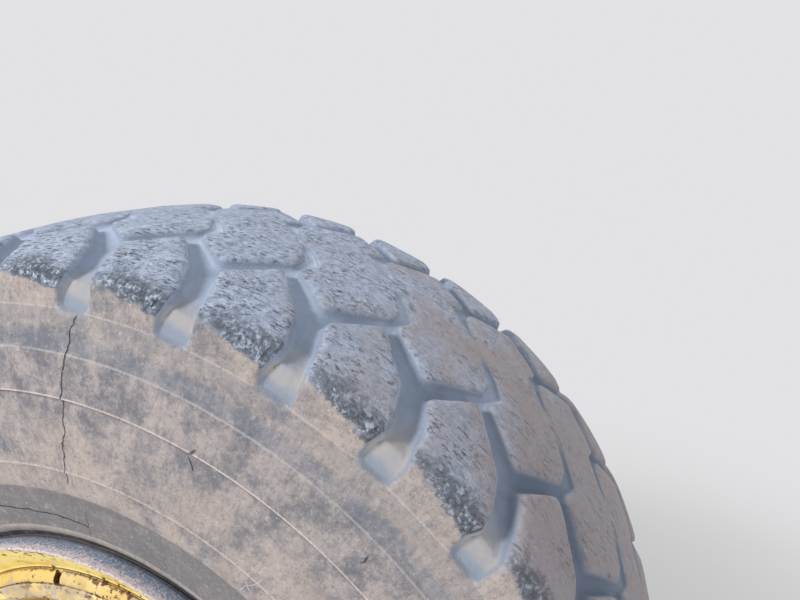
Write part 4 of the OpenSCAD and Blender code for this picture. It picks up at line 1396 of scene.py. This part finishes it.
        def worn(scale: float, detail: float, shift: float, low: float, high: float, depth: Socket) -> Socket:
            """How deep one kind of wear is: seeded noise over the tyre, eased from low to high."""
            made = w.node("ShaderNodeTexNoise", {
                "Vector": place, "W": w.plus(o["Seed"], shift), "Scale": scale, "Detail": detail,
            }, noise_dimensions="4D")
            return w.times(w.ease(made.outputs[0], low, high), depth)

        rubbed = worn(34.0, 2.0, 0.0, 0.3, 0.7, w.times(edge, o["Wear"]))
        bites = worn(22.0, 3.0, 3.0, 0.60, 0.74, w.times(edge, o["Chunks"]))
        waves = worn(15.0, 2.0, 7.0, 0.3, 0.7, w.times(crown, w.times(o["Wear"], 0.8)))
        sink = w.times(w.plus(w.plus(rubbed, bites), waves), -1.0)
        normal = w.node("GeometryNodeInputNormal").outputs[0]
        shift = w.node("ShaderNodeVectorMath", {0: normal, "Scale": sink}, operation="SCALE").outputs[0]
        moved = w.node("GeometryNodeSetPosition", {"Geometry": weld.outputs[0], "Offset": shift})
        Modelling.finished(w, end, moved.outputs[0], o["Finish"])
        return tree

    def build(self) -> Piece:
        """Makes the whole tyre.

        Returns:
            The tyre's piece.
        """
        self._outline = self.section.points()
        bm = bmesh.new()
        self._tread(bm)
        self._walls(bm)
        bmesh.ops.remove_doubles(bm, verts=bm.verts, dist=self.cell_weld * MM)
        log.info("tread cell: %d faces", len(bm.faces))
        return Modelling.through_nodes(Modelling.from_bmesh(bm, "tread_cell"), self.ring_tree(), {
            "Cells": self.cells, "Wear": self.wear * MM, "Chunks": self.chunks * MM, "Seed": self.seed,
            "Weld": self.ring_weld * MM, "Finish": TYRE.material(),
        }, "block_tread_tyre").smooth(50)

    def dress(self) -> None:
        """Builds the tyre and puts it on the wheel."""
        self.build().finish(TYRE, Body.WHEEL, "tyre")


@dataclass(frozen=True)
class Turned:
    """A ring turned about the axle from an outline of (radius, place, rounding) corners.

    Hold is how far from a corner an edge's wear ends, step the greatest length of a span, gap the
    middle and the width of a split, and rough and rough_scale the depth and fineness of a cast skin.
    """

    # Radius under which a point is on the axis, and rounding under which a corner stays sharp, mm
    ON_AXIS = 0.01
    SHARP = 0.05
    # Greatest share of a leg that a rounding takes, and least turn in radians of a corner that wears
    LEG_SHARE = 0.45
    WEARS_FROM = 0.5
    # Steps along a rounding, and the radius in mm from which it has the fine ones
    STEPS = (0.0, 0.35, 0.65, 1.0)
    FINE_STEPS = tuple(t / 6 for t in range(7))
    FINE_FROM = 6
    # Length in holds from which an edge is divided between its holds
    DIVIDED_FROM = 2.4

    name: str
    corners: tuple[Corner, ...]
    segments: int = 128
    hold: float = 6.0
    step: float = 28.0
    shortest: float = 2.0
    gap: Pair | None = None
    rough: float = 0.0
    rough_scale: float = 9.0

    def _corners(self) -> list[list[Corner]]:
        """The outline's rounded corners, each as a row of (radius, place, edge)."""
        flat = np.array([c[:2] for c in self.corners], float)
        after = np.roll(flat, -1, 0)
        area = float((flat[:, 0] * after[:, 1] - after[:, 0] * flat[:, 1]).sum())
        bits = []
        for i, (r, v, rounding) in enumerate(self.corners):
            p = flat[i]
            legs = [flat[i - 1] - p, after[i] - p]
            spans = [float(np.hypot(*leg)) for leg in legs]
            cross = legs[1][0] * -legs[0][1] + legs[1][1] * legs[0][0]
            outer = 1.0 if cross * area < 0 else 0.0
            turn = math.pi - math.acos(np.clip(legs[0] @ legs[1] / (spans[0] * spans[1]), -1, 1))
            trim = min(rounding * math.tan(turn / 2), self.LEG_SHARE * min(spans))
            if trim < self.SHARP or r < self.ON_AXIS:
                bits.append([(r, v, 0.0)])
                continue
            a, c = p + legs[0] / spans[0] * trim, p + legs[1] / spans[1] * trim
            steps = self.STEPS if rounding < self.FINE_FROM else self.FINE_STEPS
            edge = outer if turn > self.WEARS_FROM else 0.0
            bits.append([(*((1 - t) ** 2 * a + 2 * t * (1 - t) * p + t * t * c), edge) for t in steps])
        return bits

    def _outline(self) -> list[Corner]:
        """The rounded outline as (radius, place, edge), with points that hold each worn edge narrow."""
        bits = self._corners()
        made: list[Corner] = []
        for bit, other in zip(bits, bits[1:] + bits[:1]):
            made += bit
            a, b = np.array(bit[-1][:2]), np.array(other[0][:2])
            length = float(np.hypot(*(b - a)))
            if length <= self.shortest:
                continue
            marks = [length / 2]
            if length > self.DIVIDED_FROM * self.hold:
                inner = length - 2 * self.hold
                count = int(inner // self.step)
                marks = [self.hold + inner * k / (count + 1) for k in range(count + 2)]
            made += [(*(a + (b - a) * m / length), 0.0) for m in marks]
        return made

    def build(self) -> Piece:
        """Turns the outline.

        Returns:
            The ring's piece.
        """
        outline = self._outline()
        bm = bmesh.new()
        layer = bm.verts.layers.float.new("edge")
        if self.gap:
            middle, half = math.radians(self.gap[0]), math.asin(self.gap[1] / 2 / self.corners[0][0])
            turns = np.linspace(middle + half, middle + math.tau - half, self.segments + 1)
        else:
            turns = np.linspace(0, math.tau, self.segments, endpoint=False)
        rows = [[bm.verts.new(about_axle(r, v, float(turn))) for r, v, _ in outline] for turn in turns]
        for row in rows:
            for vert, (_, _, edge) in zip(row, outline):
                vert[layer] = edge
        after = outline[1:] + outline[:1]
        spans = [k for k, (a, b) in enumerate(zip(outline, after)) if max(a[0], b[0]) >= self.ON_AXIS]
        Modelling.skin(bm, rows, not self.gap, spans=spans)
        bmesh.ops.remove_doubles(bm, verts=bm.verts, dist=1e-6)
        mesh = Modelling.from_bmesh(bm, self.name)
        if self.rough:
            self._roughen(mesh)
        return Piece(self.name, mesh).smooth()

    def _roughen(self, mesh: Mesh) -> None:
        """Sinks the surface a little here and there, as castings and knocked rims are."""
        normals = [v.normal.copy() for v in mesh.vertices]
        for vert, normal in zip(mesh.vertices, normals):
            depth = 0.5 + 0.5 * noise.noise(vert.co * self.rough_scale + Vector((3.0, 1.0, 7.0)))
            vert.co -= normal * depth * self.rough * MM


@dataclass(frozen=True)
class Fastener:
    """A nut, bolt head or stud end, drawn about Y with its seat at zero.

    Across is the radius of the hexagon's corners, and collar_r and collar_t are its washer's.
    """

    SIDES = 24
    across: float
    height: float
    collar_r: float = 0.0
    collar_t: float = 0.0
    hole_r: float = 0.0
    shank_r: float = 0.0
    shank_from: float = 0.0
    shank_to: float = 0.0
    thread: float = 0.0
    thread_length: float = 16.0
    thread_pitch: float = 2.0

    @staticmethod
    def _stack(bm: BMesh, rings: list[Ring], facing: Facing, closed: bool) -> None:
        """Joins rings of points into a closed skin.

        Args:
            bm: The bmesh.
            rings: Rings of (x, z, height), each with how worn it is.
            facing: The way that the head points.
            closed: Whether the last ring joins the first, as round a hole.
        """
        layer = bm.verts.layers.float.get("edge") or bm.verts.layers.float.new("edge")
        rows = []
        for ring, edge in rings:
            rows.append([bm.verts.new(Vector((x, -h * facing.value, z)) * MM) for x, z, h in ring])
            for vert in rows[-1]:
                vert[layer] = edge
        Modelling.skin(bm, rows, closed)

    def _circle(self, radius: float, height: float, worn: float) -> Ring:
        """A ring of points at one height."""
        return [(radius * math.sin(t), radius * math.cos(t), height) for t in turns_of(self.SIDES)], worn

    def _hexagon(self, height: float, chamfer: float, worn: float) -> Ring:
        """A hexagon of points, whose corners a chamfer lowers by its share of how far they reach."""
        made = []
        flat = self.across * math.cos(math.pi / 6)
        for t in turns_of(self.SIDES):
            radius = flat / math.cos(t % (math.pi / 3) - math.pi / 6)
            drop = max(0.0, radius - flat * 1.01) * chamfer
            made.append((radius * math.sin(t), radius * math.cos(t), height - drop))
        return made, worn

    def _head(self) -> list[Ring]:
        """The rings of a nut or bolt head, from its seat to its top and down its hole."""
        circle, top, r, thick = self._circle, self.height, self.collar_r, self.collar_t
        collar = ((r, 0.0, 0.0), (r, thick * 0.7, 0.6), (r - 1.2, thick, 0.8)) if thick else ()
        rings = [circle(*ring) for ring in collar]
        rings += [
            self._hexagon(thick, 0.0, 0.0), self._hexagon(top - 1.5, 0.58, 0.9),
            circle(self.across * 0.80, top, 0.9),
        ]
        if not self.hole_r:
            return rings + [circle(self.across * 0.35, top, 0.2)]
        hole = ((self.hole_r + 1.0, top, 0.5), (self.hole_r, top - 1.2, 0.2), (self.hole_r, 0.0, 0.0))
        return rings + [circle(*ring) for ring in hole]

    def _shank(self) -> list[Ring]:
        """The rings of a shank, with a thread at its end if it has one."""
        rings = [(self.shank_r, self.shank_from)]
        if self.thread:
            at = max(self.shank_from + 1, self.shank_to - self.thread_length)
            while at < self.shank_to - 3:
                rings += [(self.shank_r, at), (self.shank_r - self.thread, at + self.thread_pitch / 2)]
                at += self.thread_pitch
        rings += [(self.shank_r, self.shank_to - 2.0)]
        end = self._circle(self.shank_r - 2.0, self.shank_to, 0.8)
        return [self._circle(*ring, 0.3) for ring in rings] + [end]

    def mesh(self, name: str, facing: Facing) -> Mesh:
        """Builds the fastener.

        Args:
            name: The mesh's name.
            facing: The way that its head points.

        Returns:
            Its mesh, about the middle of its seat.
        """
        bm = bmesh.new()
        if self.height:
            self._stack(bm, self._head(), facing, bool(self.hole_r))
        if self.shank_to > self.shank_from:
            self._stack(bm, self._shank(), facing, False)
        return Modelling.from_bmesh(bm, name)


# The bolt head that the planet housing and the brake disc share
BOLT = Fastener(10.2, 10.2, 11.7, 2.0)


@dataclass(frozen=True)
class BoltCircle:
    """A circle of like fasteners on one face."""

    name: str
    fastener: Fastener
    count: int
    circle_r: float
    face: float
    facing: Facing = Facing.OUT
    phase: float = 0.0
    spin: float = 0.5
    seed: int = 7

    @staticmethod
    def tree() -> NodeTree:
        """Sets copies of a fastener on a circle about the axle, each turned a little its own way."""
        name = "bolt_circle"
        if name in bpy.data.node_groups:
            return bpy.data.node_groups[name]
        tree, w, o, end = Modelling.node_tree(name, {
            "Count": 8, "Circle Radius": 0.1, "Axle Place": 0.0, "Phase": 0.0, "Spin": 0.3, "Seed": 1,
            "Finish": None,
        })
        index = w.node("GeometryNodeInputIndex").outputs[0]
        turn = w.plus(w.calc("DIVIDE", w.times(index, math.tau), o["Count"]), o["Phase"])
        x, z = (w.times(w.calc(ratio, turn), o["Circle Radius"]) for ratio in ("SINE", "COSINE"))
        at = w.join(x, o["Axle Place"], z)
        points = w.node("GeometryNodePoints", {"Count": o["Count"], "Position": at})
        chance = w.node("FunctionNodeRandomValue", {"ID": index, "Seed": o["Seed"]}, data_type="FLOAT")
        own = w.times(w.minus(chance.outputs[1], 0.5), o["Spin"])
        Modelling.finished(w, end, Modelling.copies(w, points, o["Geometry"], w.plus(turn, own)), o["Finish"])
        return tree

    def dress(self, finish: Finish, body: Body, *nodes: str) -> None:
        """Builds the circle and puts it on its body; see Piece.finish."""
        Modelling.through_nodes(self.fastener.mesh(self.name, self.facing), self.tree(), {
            "Count": self.count, "Circle Radius": self.circle_r * MM, "Phase": math.radians(self.phase),
            "Axle Place": (-self.face - WHEEL_OFFSET) * MM, "Spin": self.spin, "Seed": self.seed,
            "Finish": finish.material(),
        }, self.name).smooth(32).finish(finish, body, *nodes)


@dataclass
class FivePieceRim:
    """The rim base with its loose flanges, bead seat band and split lock ring."""

    flange: tuple[Corner, ...] = (
        (317.8, 247.5, 0.5), (355, 247.5, 6), (362.6, 248.9, 8), (369.9, 252.2, 8), (376.3, 258.5, 8),
        (379.9, 265.6, 8), (381, 273.5, 6), (381, 291, 2.2), (377, 291, 2.0), (331, 259.5, 3),
        (317.8, 259.5, 1),
    )
    band: tuple[Corner, ...] = (
        (301.3, 139.5, 1), (308.1, 139.5, 2), (317.5, 247.5, 2), (317.5, 259.5, 1), (312, 259.5, 1),
        (301.3, 248.2, 1),
    )
    lock: tuple[Corner, ...] = (
        (296, 250.6, 0.5), (301.8, 250.6, 0.5), (311.7, 259.8, 0.8), (326, 259.8, 1.2), (325, 263.1, 3),
        (319, 268.6, 4), (314.3, 270.8, 1.5), (309.3, 270.8, 1), (309.3, 266, 0.5), (296, 266, 0.5),
    )
    base: tuple[Corner, ...] = (
        (289, -270.8, 2), (331.5, -270.8, 3), (331.5, -259.8, 2), (317.5, -259.8, 1), (317.5, -247.5, 2),
        (310.1, -161.5, 4), (301, -136.5, 6), (301, 250.3, 0.8), (295.7, 250.3, 0.8), (295.7, 266.3, 0.8),
        (309, 266.3, 1.2), (309, 270.3, 2), (306, 273.3, 2), (285, 273.3, 3), (285, 238.3, 6),
        (289, 226.3, 6),
    )
    # The lock ring's split: its angle in degrees and its width
    split: Pair = (-6.5, 9.0)

    def dress(self) -> None:
        """Builds the rim's pieces and puts them on the wheel."""
        back = tuple((r, -v, c) for r, v, c in reversed(self.flange))
        knocked = {"rough": 0.5, "rough_scale": 14.0}
        for ring, finish, node in (
            (Turned("front_flange_curled", self.flange, 224, **knocked), RIM_LIP, "front_flange"),
            (Turned("back_flange_curled", back, 224, **knocked), RIM_LIP, "back_flange"),
            (Turned("bead_seat_band_turned", self.band, 160), RIM, "bead_seat_band"),
            (Turned("split_lock_ring", self.lock, 220, 3.0, gap=self.split, rough=0.25, rough_scale=16.0),
             RIM, "lock_ring"),
            (Turned("rim_base_barrel", self.base, 200, rough=0.3), RIM_DUSTY, "rim_base"),
        ):
            ring.build().finish(finish, Body.WHEEL, node)


@dataclass
class DiscAndHub:
    """The wheel disc with its studs, the planetary hub and its end cover."""

    disc: tuple[Corner, ...] = (
        (200, 50, 1), (258, 50, 6), (288.7, 84, 1), (288.7, 104, 2.5), (254, 70, 6), (200, 70, 1.5),
    )
    drum: tuple[Corner, ...] = (
        (95.05, -130, 1.5), (166, -130, 3), (172, -90, 20), (172, 5, 14), (199, 25, 5), (262, 25, 3),
        (262, 50, 3), (199, 50, 1), (199, 62, 1.5), (80.05, 62, 1.5), (80.05, 2, 1), (103.05, 2, 1),
        (103.05, -70, 1), (95.05, -70, 1),
    )
    housing: tuple[Corner, ...] = (
        (190, 62, 1.5), (190, 80, 3.5), (158, 80, 6), (152, 90, 8), (148, 144, 16), (126, 166, 7),
        (66, 166, 1), (66, 150, 1), (118, 150, 2), (136, 132, 4), (136, 62, 1),
    )
    cover: tuple[Corner, ...] = (
        (0, 166, 0), (96, 166, 1), (96, 176, 1), (92, 180, 2.5), (42, 180, 3), (38, 190, 3), (0, 190, 0),
    )

    def dress(self) -> None:
        """Builds the disc and hub and puts them on the wheel."""
        disc = Turned("wheel_disc_dished", self.disc, 160, rough=0.5, rough_scale=10.0)
        cast = {"rough": 0.6, "rough_scale": 22.0}
        for ring, finish, node in (
            (disc, RIM_DUSTY, "wheel_disc"), (Turned("hub_drum_cast", self.drum, **cast), HUB, "hub_drum"),
            (Turned("planet_housing_cast", self.housing, **cast), HUB, "planet_housing"),
            (Turned("end_cover_turned", self.cover, 96, rough=0.3, rough_scale=22.0), HUB, "end_cover"),
        ):
            ring.build().finish(finish, Body.WHEEL, node)
        nut = Fastener(18.5, 24, 20.5, 4.8, 11.15)
        shank = Fastener(0, 0, shank_r=11, shank_from=-44.5, shank_to=36, thread=0.8)
        head = Fastener(0, 0, shank_r=16, shank_from=0.2, shank_to=8)
        small, plug = Fastener(8.5, 8.5, 10.0, 1.7), Fastener(8.4, 11.9, 9.9, 2.3)
        for circle, *nodes in (
            (BoltCircle("wheel_nut_circle", nut, 16, 231, 70), "wheel_nuts"),
            (BoltCircle("wheel_stud_circle", shank, 16, 231, 70),),
            (BoltCircle("wheel_stud_heads", head, 16, 231, 25, Facing.IN), "wheel_studs"),
            (BoltCircle("planet_bolt_circle", BOLT, 16, 173, 80, spin=2.0), "planet_bolts"),
            (BoltCircle("cover_bolt_circle", small, 8, 80, 180, spin=2.0), "cover_bolts"),
            (BoltCircle("oil_plug_pair", plug, 2, 61, 180, phase=22, spin=2.0), "oil_plugs"),
        ):
            circle.dress(STEEL, Body.WHEEL, *nodes)


@dataclass
class BrakeAndAxleEnd:
    """The disc brake and the flanged axle end that carries the wheel."""

    disc: tuple[Corner, ...] = ((120, -150, 1), (236, -150, 1.2), (236, -130, 1.2), (120, -130, 1))
    end: tuple[Corner, ...] = (
        (60, -330, 1), (190, -330, 2), (190, -300, 3), (130, -300, 10), (120, -231.8, 6), (120, -221.8, 1.5),
        (105, -221.8, 2), (105, -135, 1.5), (95, -135, 1.5), (95, -70, 3), (80, 2, 3), (80, 58, 2),
        (38, 58, 1.5), (38, -318, 1), (60, -318, 1),
    )
    holes: int = 16
    hole_circle_r: float = 165.0
    hole_r: float = 11.0
    hole_span: Pair = (-334.0, -290.0)
    casting_voxel: float = 3.2
    casting_scale: float = 60.0
    casting_rough: float = 0.5
    # Strength and number of the passes that smooth a casting
    casting_ease: tuple[float, int] = (0.5, 6)

    def _drilled(self, piece: Piece) -> Piece:
        """Bores the mounting flange's holes through a piece.

        Args:
            piece: The turned axle end.

        Returns:
            The drilled piece.
        """
        bm = bmesh.new()
        for turn in turns_of(self.holes):
            middle = about_axle(self.hole_circle_r, 0, turn)
            rows = [[bm.verts.new(Vector((
                middle.x + self.hole_r * MM * math.sin(a), (-place - WHEEL_OFFSET) * MM,
                middle.z + self.hole_r * MM * math.cos(a),
            ))) for a in turns_of(32)] for place in self.hole_span]
            Modelling.skin(bm, rows, False)
        cutter = in_scene("hole_cutter", Modelling.from_bmesh(bm, "hole_cutter"))
        modifier = piece.object.modifiers.new("holes", "BOOLEAN")
        modifier.object, modifier.operation, modifier.solver = cutter, "DIFFERENCE", "EXACT"
        bpy.context.view_layer.update()
        made = Modelling.evaluated(piece.object, "axle_end_machined")
        bpy.data.objects.remove(cutter)
        return made.smooth()

    def _casting(self, node: str, name: str, finish: Finish) -> None:
        """Softens a CAD node's copy into a rough casting of the same shape.

        Args:
            node: The CAD node.
            name: The new piece's name.
            finish: Its finish.
        """
        bm = bmesh.new()
        bm.from_mesh(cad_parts[node].data)
        bmesh.ops.remove_doubles(bm, verts=bm.verts, dist=1e-5)
        source = in_scene(name, Modelling.from_bmesh(bm, name))
        low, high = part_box(node)
        modifier = source.modifiers.new("skin", "REMESH")
        modifier.mode, modifier.voxel_size = "VOXEL", self.casting_voxel * MM
        ease = source.modifiers.new("ease", "SMOOTH")
        ease.factor, ease.iterations = self.casting_ease
        piece = Modelling.evaluated(source, name)
        for vert in piece.object.data.vertices:
            dip = 0.5 + 0.5 * noise.noise(vert.co * self.casting_scale + Vector((5.0, 2.0, 9.0)))
            vert.co -= vert.normal * dip * self.casting_rough * MM
            vert.co = Vector(min(max(c, a), b) for c, a, b in zip(vert.co, low, high))
        piece.smooth(60).finish(finish, Body.AXLE, node)

    def dress(self) -> None:
        """Builds the brake and axle end and puts them on their bodies."""
        Turned("brake_disc_turned", self.disc, 160, hold=5.0).build().finish(
            DISC_IRON, Body.WHEEL, "brake_disc")
        BoltCircle("brake_bolt_circle", BOLT, 12, 145, -150, Facing.IN, spin=2.0).dress(
            STEEL, Body.WHEEL, "brake_disc_bolts")
        turned = Turned("axle_end_turned", self.end, 128, rough=0.4, rough_scale=18.0).build()
        self._drilled(turned).finish(IRON, Body.AXLE, "axle_end")
        self._casting("front_caliper", "front_caliper_casting", CALIPER)
        self._casting("rear_caliper", "rear_caliper_casting", CALIPER)
        self._casting("caliper_bracket", "caliper_bracket_plate", IRON)


class CarriedNodes:
    """CAD nodes whose shape is right as it is and that only need their finish."""

    FINISHES = {
        "planet_gears": STEEL, "valve_stem": BRASS, "valve_cap": PLASTIC, "brake_pads": PAD,
        "caliper_bolts": STEEL, "brake_pipe": PIPE, "bleed_screws": STEEL,
    }

    def dress(self) -> None:
        """Puts each node's finish in its material slots."""
        for name, finish in self.FINISHES.items():
            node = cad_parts[name]
            node.data.materials.clear()
            node.data.materials.append(finish.material())
            log.info("%s: finished as %s", name, finish.name)


@dataclass
class Studio:
    """The camera at the photographed angle, a pale floor and backdrop, and soft lamps."""

    camera_at: Corner = (0.6429, -1.1353, 0.9219)
    camera_turn: Corner = (74.39, 0.0, 17.96)
    lens: float = 27.52
    floor_half: float = 14.0
    floor_fade: Pair = (1.2, 3.0)
    floor_z: float = -TYRE_R * MM
    floor_tones: tuple[Colour, Colour] = (srgb(228, 227, 226), srgb(236, 235, 234))
    backdrop: Colour = srgb(226, 226, 228)
    # Name, place, aim, size and power of each lamp
    lamps: tuple[tuple[str, tuple, tuple, float, float], ...] = (
        ("key_softbox", (-2.1, -3.4, 3.2), (0.1, -0.4, 0.3), 1.1, 155.0),
        ("top_softbox", (-0.8, 0.6, 3.6), (0.0, -0.3, 0.4), 2.4, 26.0),
        ("back_softbox", (1.8, 3.4, 2.2), (0.0, -0.2, 0.0), 2.2, 44.0),
        ("fill_softbox", (3.0, -1.8, 1.0), (0.1, -0.5, 0.0), 2.4, 14.0),
        ("low_softbox", (0.5, -2.8, -0.55), (0.1, -0.6, 0.3), 1.2, 12.0),
    )
    sky: Colour = (0.94, 0.97, 1.0, 1.0)
    sky_strength: float = 0.36

    def set_up(self) -> None:
        """Makes the camera, the floor, the backdrop and the lamps."""
        self._camera()
        self._floor()
        self._world()
        for name, place, aim, size, power in self.lamps:
            lamp = bpy.data.lights.new(name, "AREA")
            lamp.size, lamp.energy, lamp.shape = size, power, "DISK"
            made = in_scene(name, lamp)
            made.location = place
            made.rotation_euler = (Vector(aim) - Vector(place)).to_track_quat("-Z", "Y").to_euler()
        bpy.context.scene.view_settings.view_transform = "Standard"

    def _camera(self) -> None:
        """Puts the camera where the photograph was taken from."""
        lens = bpy.data.cameras.new("camera")
        lens.lens, lens.sensor_width, lens.clip_start = self.lens, 36.0, 0.01
        made = in_scene("camera", lens)
        made.location = self.camera_at
        made.rotation_euler = [math.radians(a) for a in self.camera_turn]
        bpy.context.scene.camera = made

    def _floor(self) -> None:
        """Lays the pale floor under the tyre."""
        bm = bmesh.new()
        rim = [bm.verts.new((self.floor_half * math.sin(t), self.floor_half * math.cos(t), self.floor_z))
               for t in turns_of(64)]
        bm.faces.new(rim[::-1])
        mesh = bpy.data.meshes.new("floor")
        bm.normal_update()
        bm.to_mesh(mesh)
        bm.free()
        made = in_scene("floor", mesh)
        material = bpy.data.materials.new("pale_floor")
        material.use_nodes = True
        w = Wiring(material.node_tree)
        shader = material.node_tree.nodes["Principled BSDF"]
        place = w.node("ShaderNodeTexCoord").outputs["Object"]
        tone = w.cloud(place, 1.2, 1.0, 2.0)
        w.fill(shader, {"Base Color": w.blend(tone, *self.floor_tones), "Roughness": 0.9})
        x, y, _ = w.split(place)
        far = w.ease(w.calc("SQRT", w.times_plus(x, x, w.times(y, y))), *self.floor_fade)
        glow = w.node("ShaderNodeEmission", {"Color": self.backdrop, "Strength": 1.0})
        mix = w.node("ShaderNodeMixShader", {0: far, 1: shader.outputs[0], 2: glow.outputs[0]})
        w.fill(material.node_tree.nodes["Material Output"], {"Surface": mix.outputs[0]})
        mesh.materials.append(material)

    def _world(self) -> None:
        """Lights the scene with a plain sky and shows a pale backdrop to the camera."""
        world = bpy.data.worlds.new("studio")
        world.use_nodes = True
        world.node_tree.nodes.clear()
        w = Wiring(world.node_tree)
        path = w.node("ShaderNodeLightPath")
        seen = w.larger(path.outputs["Is Camera Ray"], path.outputs["Is Glossy Ray"])
        seen = w.larger(seen, path.outputs["Is Transmission Ray"])
        light = w.node("ShaderNodeBackground", {"Color": self.sky, "Strength": self.sky_strength})
        show = w.node("ShaderNodeBackground", {"Color": self.backdrop, "Strength": 1.0})
        mix = w.node("ShaderNodeMixShader", {0: seen, 1: light.outputs[0], 2: show.outputs[0]})
        w.node("ShaderNodeOutputWorld", {"Surface": mix.outputs[0]})
        bpy.context.scene.world = world


def write_sizes() -> None:
    bpy.context.view_layer.update()


def main() -> None:
    """Builds and dresses every sub-assembly in order."""
    logging.basicConfig(level=logging.INFO, format="%(name)s: %(message)s")
    Studio().set_up()
    for assembly in (Tyre(), FivePieceRim(), DiscAndHub(), BrakeAndAxleEnd(), CarriedNodes()):
        assembly.dress()
        log.info("%s is dressed", type(assembly).__name__)
    write_sizes()


if __name__ == "__main__":
    main()
